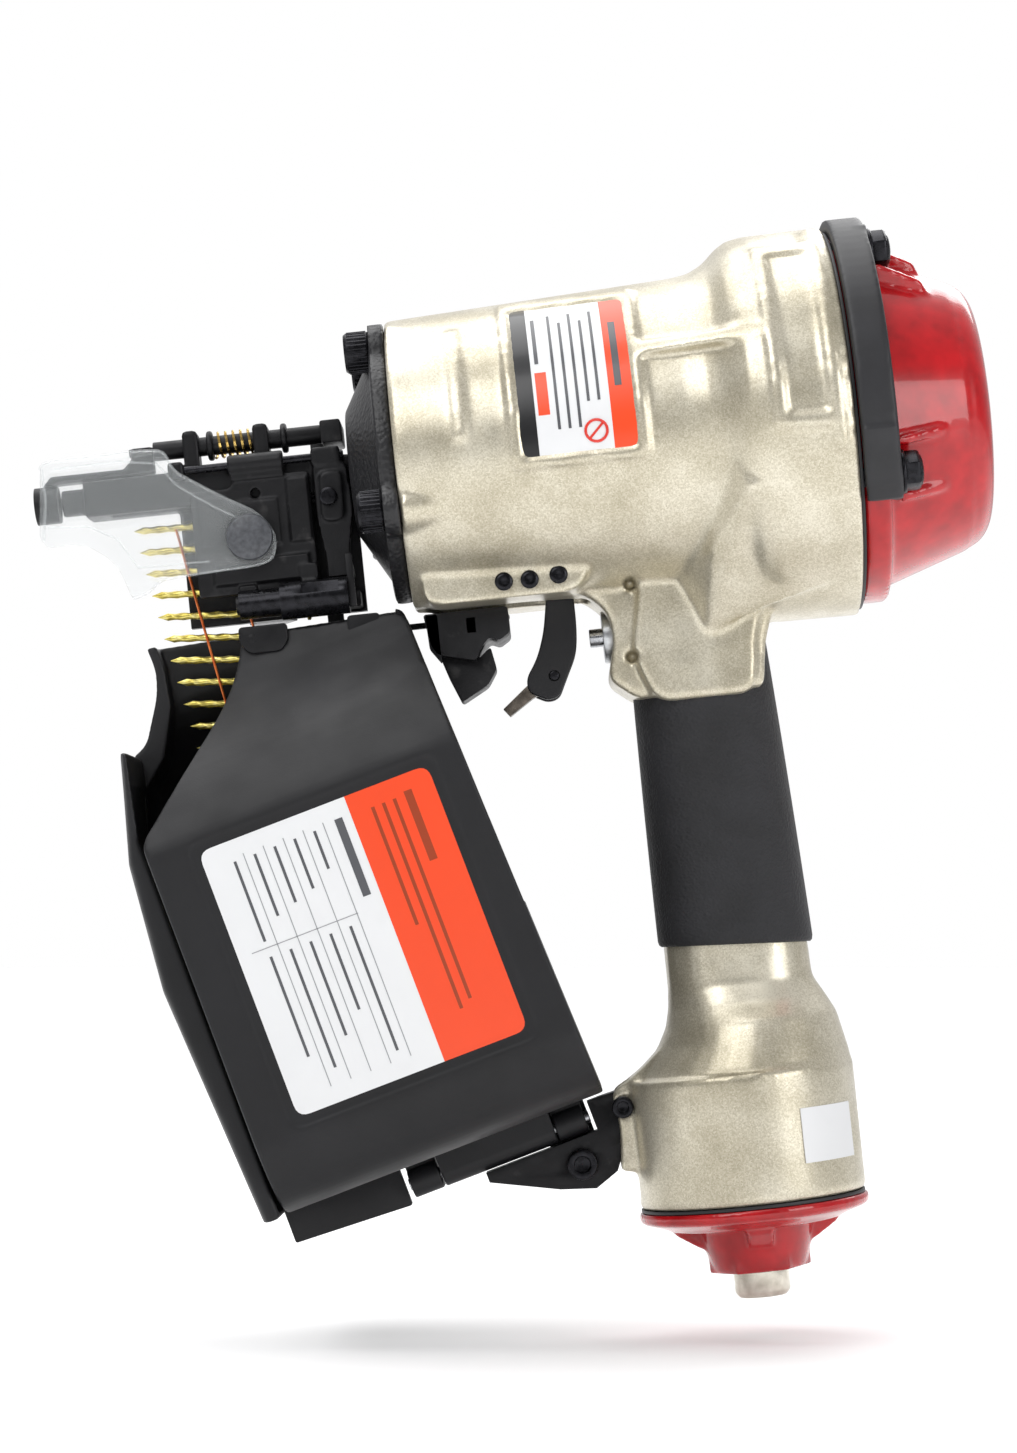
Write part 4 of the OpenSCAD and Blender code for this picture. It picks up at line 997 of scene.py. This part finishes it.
def build_magazine(s):
    """The cover that opens, the base, their hinge and the bracket."""
    wall = 2.6
    side = [(0.0, 0.4), (0.0, 123.5, 4), (34.4, 154.4, 10), (43.4, 165, 8), (50.6, 177.8, 2),
            (102.2, 166.2, 4),
            (COVER_L - 0.2, 0.4)]
    cover = Shape().slice(shell_section(0.1), 0.1, COVER_L - 0.1)
    outline = Shape().plate(rounded(side, 1.0), -60, -0.5)
    room = Shape().slice(shell_section(wall), -9, COVER_L - wall)
    pocket = Shape().plate(rounded([(12.6, 24.2, 5), (95.4, 24.2, 5), (95.4, 118.6, 5), (12.6, 118.6, 5)],
                                   5),
                           -COVER_D - 1, -COVER_D + 0.55)
    # shallow groove where the curved lower edge meets the flat side
    groove = Shape().slice([(-COVER_D - 1, 16.6), (-COVER_D + 0.5, 17.2), (-COVER_D + 0.5, 17.8),
                            (-COVER_D - 1, 18.4)],
                           2, COVER_L - 6)
    piece = cast("cover_shell", cover, s.shell_voxel, 2, [room, pocket, groove], outline)
    hinge = Shape()
    hinge.lathe((48.6, 0, HINGE_Z), DRIVE, [(0, 4.2), (0.4, 4.6), (38.4, 4.6), (38.8, 4.2)], 40)
    hinge.block((48.6, -5, HINGE_Z), (87.4, -0.6, 1.2))
    barrel = machined("cover_hinge_barrel", hinge, 0)
    seat(piece, "magazine_cover", ["magazine_cover"])
    seat(barrel, "magazine_cover")

    # hooks that hold the cover's top under the latch
    hooks = Shape()
    hooks.plate(rounded([(62.8, -47.6), (78.6, -47.6), (78.6, -53), (76, -56.4), (66, -56.4), (62.8, -53)],
                        1.5), -14.2, -11.6)
    hooks.plate(rounded([(98, -47.4), (108.6, -47.4), (108.6, -53), (106, -55), (100, -55), (98, -53)],
                        1.5), -14.2, -11.6)
    hooks.rod((67, -14.4, -51.6), (67, -11, -51.6), 1.5)
    piece = machined("cover_hooks", hooks, 0.5)
    dress(piece, "magazine_cover", MATERIALS["phosphate"])

    base = Shape().slice(shell_section(0.1, 1), -18, COVER_L - 1.1)
    front = [(-7.2, 0.3), (-11.3, 79, 60), (-7.4, 120, 30), (-0.8, 143, 8)]
    edge = rounded(front + [(2.4, 154.8, 2), (8, 157, 4), (17, 171, 6), (19.5, 179, 5), (19.2, 186.6),
                            (101.8, 169.2, 3),
                            (COVER_L - 1.2, 0.3)], 0.8)
    outline = Shape().plate(edge, 0.5, 60)
    inner = [(-4, wall), (-8.1, 79), (-4.2, 120), (2.4, 143)]
    room = Shape().slice(shell_section(wall, 1), -18, COVER_L + 5)
    room_piece = room.to_object("room")
    limit = Shape().plate(inner + [(12, 151), (20, 166), (22.4, 179), (22.4, 220), (99, 220), (99, 172),
                                   (103.4, 10), (103.4, -5), (-4, -5)], -5, 61)
    boolean(room_piece, limit.to_object("limit"), "INTERSECT")
    piece = base.to_object("base_shell")
    remesh(piece, s.shell_voxel)
    boolean(piece, outline.to_object("edge"), "INTERSECT")
    boolean(piece, room_piece, "DIFFERENCE")
    remesh(piece, s.shell_voxel)
    settle(piece, 2)
    band = Shape()
    rings = []
    for y, drop in ((5.8, 0), (-1, 0), (-30, 0), (-38, 0.8), (-42.4, 2.4), (-43.8, 4.6)):
        ring = [(q[0] + drop * 0.6, q[1] - (drop * 0.5 if q[1] > 130 else 0)) for q in front + [(2.4, 154.4)]]
        rings.append([(x, y, z) for x, z in rounded(ring + [(5.2, 153.4), (-0.8, 126), (-0.8, 0.4)], 0.5)])
    band.loft(rings)
    cut = Shape().plate([(-4, 2.6), (-8.4, 79), (-4.6, 120), (2, 143), (9, 143), (9, 2.6)], -41.4, 7)
    band_piece = cast("base_band", band, s.shell_voxel, 2, [cut])
    foot = Shape()
    for x in (38, 88):
        foot.lathe((x, 0, HINGE_Z), DRIVE, [(0, 4.3), (0.4, 4.6), (9.6, 4.6), (10, 4.3)], 40)
        foot.plate([(x, -10.9), (x + 10, -10.9), (x + 10, 1), (x, 1)], 0.5, 8)
    foot.plate(rounded([(-3.5, 1), (-3.5, -10.9), (36, -12.9), (36, 1)], 0.8), 0.5, 6)
    foot.plate(rounded([(84, 1), (84, -23.8), (99.3, -25.8), (99.3, 1)], 1.2), 6.1, 9)
    knuckle_piece = machined("base_knuckles", foot, 0.5)
    seat(piece, "frame", ["magazine_base"])
    seat(band_piece, "frame")
    seat(knuckle_piece, "frame")

    softened("magazine_hinge_pin", "frame", MATERIALS["steel"], 0.3)
    softened("platform_post", "frame", MATERIALS["steel"], 0.4)
    softened("coil_platform", "coil_platform", MATERIALS["nylon"], 0.6)
    softened("magazine_bracket", "frame", MATERIALS["phosphate"], 0.8)
    bolt = Shape()
    at = MAGAZINE @ Vector((92, 0, -20))
    for x, z, y0, y1, r in ((at.x, at.z, -4.05, 9.15, 5), (BRACKET_X, BRACKET_Z, -9.05, 9.05, 3.5)):
        bolt.rod((x, y0, z), (x, y1, z), 2.5)
        bolt.lathe((x, y0, z), (0, -1, 0),
                   [(0, r * 0.94), (0.3, r), (2.7, r), (3.15, r * 0.88), (3.15, r * 0.55),
                                           (1.2, r * 0.5), (1.1, 0.1)], 40)
        bolt.lathe((x, y1, z), (0, 1, 0), [(0, r), (3.4, r), (3.9, r * 0.9)], 6)
    piece = machined("bracket_screw", bolt, 0.2)
    dress(piece, "frame", MATERIALS["oxide"], ["bracket_bolts"])


# ---------------------------------------------------------------- nails


def nail_solid(shape, place, length, fine=True):
    """A screw-shank nail: point, twisted shank and flat head, along local Z."""
    sides = 12 if fine else 6
    rows = 46 if fine else 6
    rings = []
    for i in range(rows + 1):
        z = 3.2 + (length - 4.6) * i / rows
        ring = []
        for k in range(sides):
            a = 2 * math.pi * k / sides
            twist = 2 * math.pi * z / 11.0
            r = 1.25 - (0.26 * (0.5 + 0.5 * math.cos(2 * (a - twist))) if fine else 0)
            ring.append((r * math.cos(a), r * math.sin(a), z))
        rings.append(ring)
    tip = [[(q * math.cos(2 * math.pi * k / sides), q * math.sin(2 * math.pi * k / sides),
             z) for k in range(sides)]
           for z, q in ((0, 0.08), (1.6, 0.62))]
    neck = [[(q * math.cos(2 * math.pi * k / sides), q * math.sin(2 * math.pi * k / sides),
              z) for k in range(sides)]
            for z, q in ((length - 1.25, 1.25), (length - 1.2, 3.0), (length - 0.3, 3.1), (length, 2.7))]
    part = Shape().loft(tip + rings + neck).moved(place)
    scratch = bpy.data.meshes.new("nail")
    part.bm.to_mesh(scratch)
    part.bm.free()
    shape.bm.from_mesh(scratch)
    bpy.data.meshes.remove(scratch)


STRIP = 11
NAIL_L = 50


def strip_place(i):
    """Where the tip of the strip's nail i stands."""
    bend = 0 if i < 4 else 0.16 * (i - 3) ** 2
    return Vector((31 + i * 1.27, bend, -11.4 - i * 7.2))


def build_nails(s):
    """The strip in the throat, its two wires, and the coil on the platform."""
    strip = Shape()
    for i in range(STRIP):
        tilt = math.radians(90 + min(5, 1 + i * 0.6))
        nail_solid(strip, Matrix.Translation(strip_place(i)) @ Matrix.Rotation(tilt, 4, "Y"), NAIL_L)
    piece = machined("strip_nails", strip, 0)
    dress(piece, "frame", MATERIALS["nail"], ["nail_strip"])

    wire = Shape()
    for reach in (14, 30):
        path = []
        for i in range(STRIP * 4 - 3):
            a, b = strip_place(i // 4), strip_place(min(i // 4 + 1, STRIP - 1))
            p = a.lerp(b, (i % 4) / 4)
            path.append(p + Vector((reach, -1.75, -reach * 0.07)))
        wire.tube(path, 0.45, 8)
    piece = machined("strip_wire", wire, 0)
    dress(piece, "frame", MATERIALS["copper"], ["collation_wire"])

    coil = Shape()
    place_x = 84 - NAIL_L - 0.05
    radius, angle = 16.0, 0.0
    while radius < 43.5:
        turn = Matrix.Rotation(angle, 4, "X") @ Matrix.Translation((place_x, radius, 0))
        lean = Matrix.Rotation(math.radians(90), 4, "Y") @ Matrix.Rotation(math.radians(9), 4, "X")
        place = Matrix.Translation((0, 0, COIL_Z)) @ turn @ lean
        nail_solid(coil, place, NAIL_L * 0.985, False)
        step = 7.3 / radius
        angle += step
        radius += 6.3 * step / (2 * math.pi)
    piece = machined("coiled_nails", coil.moved(MAGAZINE), 0)
    dress(piece, "coil_platform", MATERIALS["nail"], ["nail_coil"])


# ---------------------------------------------------------------- lower end


def build_lower_end(s):
    """The red end cap with its boss, and the air stub."""
    cap = Shape()
    z = high("end_cap").z
    cap.lathe((END_X, 0, 0), DOWN, [(-z, 36.6), (-z + 0.5, 37.0), (-z + 2.8, 37.0), (-z + 3.8, 35.6),
                                          (-z + 5.6, 30), (-z + 7, 27)], 128)
    hexagon = [(END_X + 16.6 * math.cos(a),
                16.6 * math.sin(a)) for a in [math.radians(60 * k) for k in range(6)]]
    cap.slab(hexagon, -269.8, -250)
    cap.lathe((END_X, 0, 0), DOWN, [(250, 21), (256.5, 18.5), (262, 17.2), (269, 15), (269.9, 14)], 64)
    # lugs round the boss
    for k in range(4):
        a = math.radians(90 * k)
        x, y = math.cos(a), math.sin(a)
        cap.hull([(END_X + x * q + y * w, y * q - x * w, h) for q, w, h in (
            (14, 5, -250), (14, -5, -250), (27, 4.5, -250), (27, -4.5, -250), (26, 4, -256.5),
            (26, -4, -256.5),
            (19, 4, -261), (19, -4, -261), (14, 4, -263), (14, -4, -263))])
    piece = cast("red_end_cap", cap, 0.7, 3, [Shape().rod((END_X, 0, -280), (END_X, 0, -240), 8.06)])
    dress(piece, "frame", MATERIALS["enamel"], ["end_cap"])

    stub = Shape()
    stub.lathe((END_X, 0, 0), UP, [(-278.25, 5.8), (-278.3, 7.6), (-277.2, 8.6), (-276.4, 8.95),
                                   (-270.3, 8.95),
                                          (-270.1, 8.0), (-247.2, 8.0), (-247.1, 5.8)], 96)
    made = stub.to_object("air_stub")
    boolean(made, Shape().rod((END_X, 0, -281), (END_X, 0, -244), 5.7).to_object("bore"), "DIFFERENCE")
    shade(made, 30)
    dress(made, "frame", MATERIALS["nickel"], ["air_fitting"])
    softened("end_cap_gasket", "frame", MATERIALS["rubber"], 0.1)


# ---------------------------------------------------------------- labels


def flat_patch(outline, lift):
    """A thin film on the magazine's side, in the magazine's own frame."""
    face = -COVER_D + 0.55
    return Shape().plate(outline, face - lift, face - lift + 0.3).moved(MAGAZINE)


def square(x0, x1, z0, z1):
    """The four corners of an upright oblong."""
    return [(x0, z0), (x1, z0), (x1, z1), (x0, z1)]


def barrel_patch(x0, x1, z0, z1, lift):
    """A thin film on the barrel."""
    return Shape().on_barrel(x0, x1, z0, z1, lift, -1, -lift + 0.3, 14)


def joined(patches, name, body, key, nodes=()):
    """One piece made of several films."""
    total = Shape()
    for patch in patches:
        scratch = bpy.data.meshes.new("patch")
        patch.bm.to_mesh(scratch)
        patch.bm.free()
        total.bm.from_mesh(scratch)
        bpy.data.meshes.remove(scratch)
    piece = machined(name, total, 0)
    return dress(piece, body, MATERIALS[key], nodes)


def build_labels(s):
    """The three labels, with plain bars and rules in place of print."""
    x0, x1, z0, z1 = 16, 92, 27.6, 115.2
    split = 64.4
    joined([flat_patch(rounded(square(x0, x1, z0, z1), 4), 0.02)], "magazine_film", "magazine_cover",
           "film",
           ["magazine_label"])
    joined([flat_patch(rounded([(split, z0), (x1, z0, 4), (x1, z1, 4), (split, z1)], 0.1), 0.07)],
           "magazine_film_orange", "magazine_cover", "orange")
    # bars that stand for print, with no lettering: a heading and three lines on the coloured field
    bars = ((82.2, 2.6, 87, 110), (78.2, 1.1, 43, 109), (74.6, 1.1, 41, 109), (71, 1.1, 70, 109))
    joined([flat_patch(square(x, x + w, a, b), 0.1) for x, w, a, b in bars], "magazine_print_orange",
           "magazine_cover", "brown_ink")
    # a heading and five rows of two columns on the white field
    rows = [25.2 + 6.6 * k for k in range(5)]
    ends = (82, 88, 90, 92, 96)
    bars = [(59, 2.6, 84, 109.5)] + [(x, 0.9, b, 108.5) for x, b in zip(rows, ends)]
    bars += [(x, 0.9, a, 77) for x, a in zip(rows, (44, 38, 46, 52, 36))]
    joined([flat_patch(square(x, x + w, a, b), 0.1) for x, w, a, b in bars], "magazine_print_grey",
           "magazine_cover", "ink")
    rules = [flat_patch(square(x + 3.6, x + 3.9, 33, 110), 0.1) for x in rows]
    rules.append(flat_patch(square(20.5, 55.7, 79.8, 80.1), 0.1))
    joined(rules, "magazine_rules", "magazine_cover", "pale_ink")

    # label on the barrel
    joined([barrel_patch(159.6, 196.4, -8, 43.4, 0.6)], "barrel_film", "frame", "film", ["body_label"])
    joined([barrel_patch(159.6, 165, -8, 43.4, 0.66)], "barrel_film_black", "frame", "black_film")
    joined([barrel_patch(188.6, 196.4, -8, 43.4, 0.66)], "barrel_film_orange", "frame", "orange")
    joined([barrel_patch(166, 169.6, 5, 19, 0.66)], "barrel_film_box", "frame", "orange")
    marks = []
    for i in range(5):
        x = 171.6 + i * 3.3
        marks.append(barrel_patch(x, x + 0.9, 8 if i > 2 else 0, 39 - 3 * (i % 2), 0.7))
    marks.append(barrel_patch(166.4, 167.6, 22, 38, 0.7))
    marks.append(barrel_patch(190.6, 192.8, 12, 34, 0.7))
    joined(marks, "barrel_print", "frame", "ink")
    ring = Shape()
    path = []
    for k in range(25):
        a = 2 * math.pi * k / 24
        x, z = 183.4 + 3.4 * math.cos(a), -1.6 + 3.4 * math.sin(a)
        path.append((x, -math.sqrt((barrel_r(x) + 0.62) ** 2 - z * z), z))
    ring.tube(path, 0.45, 6)
    ring.tube([path[3], path[15]], 0.4, 6)
    piece = machined("barrel_print_ring", ring, 0)
    dress(piece, "frame", MATERIALS["red_ink"])

    # small label on the lower housing
    small = Shape()
    rings = []
    for i in range(9):
        a = math.radians(-64 + 36 * i / 8)
        rings.append([(END_X + q * math.cos(a), q * math.sin(a), z) for q, z in
                      ((END_R + 0.06, -235.6), (END_R + 0.4, -235.6), (END_R + 0.4, -218.4),
                       (END_R + 0.06, -218.4))])
    small.loft(rings)
    piece = machined("housing_film", small, 0)
    dress(piece, "frame", MATERIALS["film"], ["handle_label"])


# ---------------------------------------------------------------- inside parts


def build_inside(s):
    """The parts inside the body, most of them in the shapes of the frame nodes."""
    for node, body, key, bevel in (
            ("cylinder_liner", "frame", "steel", 0.4), ("bumper", "frame", "rubber", 0.8),
            ("piston", "driver", "aluminium", 0.4), ("piston_ring", "driver", "spring", 0.2),
            ("driver_blade", "driver", "steel", 0.2), ("head_valve", "head_valve", "aluminium", 0.5),
            ("head_valve_seal", "head_valve", "rubber", 0.3)):
        softened(node, body, MATERIALS[key], bevel)
    for node, key in (("cylinder_seals", "rubber"), ("valve_seals", "rubber"),
                      ("head_valve_spring", "spring"),
                      ("valve_spring", "spring"), ("contact_spring", "spring"), ("feed_spring", "spring"),
                      ("latch_spring", "spring"), ("inlet_filter", "filter")):
        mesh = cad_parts[node].data
        mesh.materials.clear()
        mesh.materials.append(MATERIALS[key])


# ---------------------------------------------------------------- stage


def build_stage(s):
    """The camera, the studio light and the floor."""
    centre = Vector((s.target_x, 0, s.target_z)) * MM
    a, e, roll = s.azimuth, s.elevation, s.roll
    back = Vector((math.sin(a) * math.cos(e), -math.cos(a) * math.cos(e), math.sin(e)))
    camera = bpy.data.objects.new("camera", bpy.data.cameras.new("camera"))
    bpy.context.scene.collection.objects.link(camera)
    turn = (-back).to_track_quat("-Z", "Y").to_matrix().to_4x4()
    camera.matrix_world = Matrix.Translation(centre + back * s.distance) @ turn @ Matrix.Rotation(-roll, 4,
                                                                                                  "Z")
    camera.data.lens = s.lens
    camera.data.sensor_width = 36
    camera.data.clip_start = 0.05
    bpy.context.scene.camera = camera

    scene = bpy.context.scene
    scene.view_settings.view_transform = "Standard"
    world = bpy.data.worlds.new("studio")
    scene.world = world
    world.use_nodes = True
    tree = world.node_tree
    ground = tree.nodes["Background"]
    place = add(tree, "ShaderNodeTexCoord")
    split = add(tree, "ShaderNodeSeparateXYZ", {"Vector": (place, "Generated")})
    # dim in front of the tool, bright behind and above it, so that the finishes keep their contrast
    front = add(tree, "ShaderNodeMapRange", {"Value": (split, "Y"), "From Min": -1.0, "From Max": 1.0,
                                             "To Min": 0.0, "To Max": 0.7})
    above = add(tree, "ShaderNodeMath", {0: (split, "Z"), 1: 0.3}, operation="MULTIPLY")
    where = add(tree, "ShaderNodeMath", {0: (front, "Result"), 1: (above, "Value")}, operation="ADD")
    ramp = graded(tree, (where, "Value"), [(0.0, "#4A4A4C"), (0.3, "#8C8C8E"), (0.62, "#C8C8CA"),
                                           (0.9, "#F4F4F4")])
    ray = add(tree, "ShaderNodeLightPath")
    # the backdrop itself is white from every side
    shown = add(tree, "ShaderNodeMix", {"Factor": (ray, "Is Camera Ray"), "A": (ramp, "Color"),
                                        "B": linear("#FFFFFF")}, data_type="RGBA")
    tree.links.new(shown.outputs[2], ground.inputs["Color"])
    ground.inputs["Strength"].default_value = 1.0

    # Matte painted floor, pale enough to fade into the background
    paint, _, _ = surface("paint_white_matte", Base_Color=linear("#E6E6E6"), Roughness=0.9,
                          Emission_Color=linear("#FFFFFF"), Emission_Strength=0.16)
    floor = Shape()
    floor.slab([(x * 1000, y * 1000) for x, y in arc(0, 0, 14, 0, 360, 48)[:-1]], -2, 0)
    piece = floor.to_object("floor")
    piece.matrix_world = Matrix.Translation(Vector((END_X * MM, 0, -0.2915))) @ Matrix.Rotation(roll, 4,
                                                                                                "Y")
    piece.data.materials.append(paint)

    for name, at, size, power in (("key", (-0.5, -1.2, 1.1), 0.9, 11), ("fill", (1.3, -1.2, 0.25), 0.8, 9),
                                  ("rim", (0.7, 1.2, 1.1), 0.9, 10)):
        lamp = bpy.data.lights.new(name, "AREA")
        lamp.shape = "SQUARE"
        lamp.size = size
        lamp.energy = power
        holder = bpy.data.objects.new(name, lamp)
        scene.collection.objects.link(holder)
        holder.location = Vector(at) + centre
        holder.rotation_mode = "QUATERNION"
        holder.rotation_quaternion = (-Vector(at)).to_track_quat("-Z", "Y")
    sun = bpy.data.lights.new("sky", "SUN")
    sun.energy = 2.0
    sun.angle = math.radians(55)
    holder = bpy.data.objects.new("sky", sun)
    scene.collection.objects.link(holder)
    holder.rotation_euler = (math.radians(-8), math.radians(-10), 0)


# ---------------------------------------------------------------- add-on


class NailerSettings(bpy.types.PropertyGroup):
    """Sizes and colours that a user would change."""

    casting_voxel: bpy.props.FloatProperty(name="Casting detail", description="Grid of the castings, mm",
                                           default=0.9,
                                           min=0.4, max=3)
    shell_voxel: bpy.props.FloatProperty(name="Shell detail", description="Grid of the plastic shells, mm",
                                         default=0.75,
                                         min=0.4, max=3)
    azimuth: bpy.props.FloatProperty(name="Azimuth", description="Camera turn round the tool",
                                     subtype="ANGLE",
                                     default=math.radians(0.5))
    elevation: bpy.props.FloatProperty(name="Elevation", description="Camera height as an angle",
                                       subtype="ANGLE",
                                       default=math.radians(-3.5))
    roll: bpy.props.FloatProperty(name="Roll", description="Tilt of the tool in the picture",
                                  subtype="ANGLE",
                                  default=math.radians(6))
    distance: bpy.props.FloatProperty(name="Distance", description="Camera distance", subtype="DISTANCE",
                                      unit="LENGTH",
                                      default=1.145)
    lens: bpy.props.FloatProperty(name="Lens", description="Focal length", subtype="DISTANCE_CAMERA",
                                  unit="CAMERA", default=87.3)
    target_x: bpy.props.FloatProperty(name="Target X", description="Point the camera faces, mm",
                                      default=146)
    target_z: bpy.props.FloatProperty(name="Target Z", description="Point the camera faces, mm",
                                      default=-87.6)
    casting: bpy.props.StringProperty(name="Casting", description="Champagne paint", default="#BDB59F")
    casting_dark: bpy.props.StringProperty(name="Casting dark", description="Champagne paint, dark flakes",
                                           default="#A59D87")
    casting_light: bpy.props.StringProperty(name="Casting light",
                                            description="Champagne paint, bright flakes",
                                            default="#DDD7C5")
    red: bpy.props.StringProperty(name="Red", description="Enamel", default="#B80F17")
    red_dark: bpy.props.StringProperty(name="Red dark", description="Enamel, deeper", default="#990A11")
    nylon: bpy.props.StringProperty(name="Nylon", description="Magazine", default="#111113")
    nylon_light: bpy.props.StringProperty(name="Nylon light", description="Magazine, paler",
                                          default="#19191C")
    phosphate: bpy.props.StringProperty(name="Phosphate", description="Nose steel", default="#18181A")
    phosphate_rubbed: bpy.props.StringProperty(name="Phosphate rubbed", description="Nose steel, worn",
                                               default="#3C3B3B")
    rubber: bpy.props.StringProperty(name="Rubber", description="Grip and guard", default="#131316")
    rubber_light: bpy.props.StringProperty(name="Rubber light", description="Grip and guard, paler",
                                           default="#202024")
    orange: bpy.props.StringProperty(name="Orange", description="Label fields", default="#EE4A1E")


def settings():
    """The values that the panel's user can change."""
    return bpy.context.scene.nailer


class NAILER_OT_stage(bpy.types.Operator):
    """Build the camera, the light and the floor"""

    bl_idname = "nailer.stage"
    bl_label = "Stage"

    def execute(self, context):
        build_stage(settings())
        return {"FINISHED"}


class NAILER_OT_materials(bpy.types.Operator):
    """Make every finish on the tool"""

    bl_idname = "nailer.materials"
    bl_label = "Materials"

    def execute(self, context):
        make_materials(settings())
        return {"FINISHED"}


class NAILER_OT_body(bpy.types.Operator):
    """Build the cast body"""

    bl_idname = "nailer.body"
    bl_label = "Cast body"

    def execute(self, context):
        build_body(settings())
        return {"FINISHED"}


class NAILER_OT_grip(bpy.types.Operator):
    """Build the rubber grip"""

    bl_idname = "nailer.grip"
    bl_label = "Grip"

    def execute(self, context):
        build_grip(settings())
        return {"FINISHED"}


class NAILER_OT_cap(bpy.types.Operator):
    """Build the red cap, its guard and its bolts"""

    bl_idname = "nailer.cap"
    bl_label = "Cap end"

    def execute(self, context):
        build_cap(settings())
        return {"FINISHED"}


class NAILER_OT_nose(bpy.types.Operator):
    """Build the nose, its screws and the contact arm"""

    bl_idname = "nailer.nose"
    bl_label = "Nose"

    def execute(self, context):
        build_nose(settings())
        return {"FINISHED"}


class NAILER_OT_door(bpy.types.Operator):
    """Build the nose door, the latch and the visor"""

    bl_idname = "nailer.door"
    bl_label = "Door and visor"

    def execute(self, context):
        build_door(settings())
        return {"FINISHED"}


class NAILER_OT_feeder(bpy.types.Operator):
    """Build the feeder"""

    bl_idname = "nailer.feeder"
    bl_label = "Feeder"

    def execute(self, context):
        build_feeder(settings())
        return {"FINISHED"}


class NAILER_OT_trigger(bpy.types.Operator):
    """Build the trigger, its valve and the plate pins"""

    bl_idname = "nailer.trigger"
    bl_label = "Trigger"

    def execute(self, context):
        build_trigger(settings())
        return {"FINISHED"}


class NAILER_OT_magazine(bpy.types.Operator):
    """Build the magazine and its bracket"""

    bl_idname = "nailer.magazine"
    bl_label = "Magazine"

    def execute(self, context):
        build_magazine(settings())
        return {"FINISHED"}


class NAILER_OT_nails(bpy.types.Operator):
    """Build the nail strip, its wires and the coil"""

    bl_idname = "nailer.nails"
    bl_label = "Nails"

    def execute(self, context):
        build_nails(settings())
        return {"FINISHED"}


class NAILER_OT_lower_end(bpy.types.Operator):
    """Build the red end cap and the air stub"""

    bl_idname = "nailer.lower_end"
    bl_label = "Lower end"

    def execute(self, context):
        build_lower_end(settings())
        return {"FINISHED"}


class NAILER_OT_labels(bpy.types.Operator):
    """Build the three plain labels"""

    bl_idname = "nailer.labels"
    bl_label = "Labels"

    def execute(self, context):
        build_labels(settings())
        return {"FINISHED"}


class NAILER_OT_inside(bpy.types.Operator):
    """Finish the parts inside the body"""

    bl_idname = "nailer.inside"
    bl_label = "Inside parts"

    def execute(self, context):
        build_inside(settings())
        return {"FINISHED"}


OPERATORS = (NAILER_OT_stage, NAILER_OT_materials, NAILER_OT_body, NAILER_OT_grip, NAILER_OT_cap,
             NAILER_OT_nose,
             NAILER_OT_door, NAILER_OT_feeder, NAILER_OT_trigger, NAILER_OT_magazine, NAILER_OT_nails,
             NAILER_OT_lower_end, NAILER_OT_labels, NAILER_OT_inside)


class NAILER_PT_panel(bpy.types.Panel):
    """Lists the nailer's builders"""

    bl_idname = "NAILER_PT_panel"
    bl_label = "Nailer"
    bl_space_type = "VIEW_3D"
    bl_region_type = "UI"
    bl_category = "Nailer"

    def draw(self, context):
        for operator in OPERATORS:
            self.layout.operator(operator.bl_idname)


def register():
    bpy.utils.register_class(NailerSettings)
    for operator in OPERATORS:
        bpy.utils.register_class(operator)
    bpy.utils.register_class(NAILER_PT_panel)
    bpy.types.Scene.nailer = bpy.props.PointerProperty(type=NailerSettings)


def unregister():
    del bpy.types.Scene.nailer
    bpy.utils.unregister_class(NAILER_PT_panel)
    for operator in reversed(OPERATORS):
        bpy.utils.unregister_class(operator)
    bpy.utils.unregister_class(NailerSettings)


def main():
    """Builds everything in order."""
    register()
    for operator in OPERATORS:
        group, name = operator.bl_idname.split(".")
        getattr(getattr(bpy.ops, group), name)()


if __name__ == "__main__":
    main()
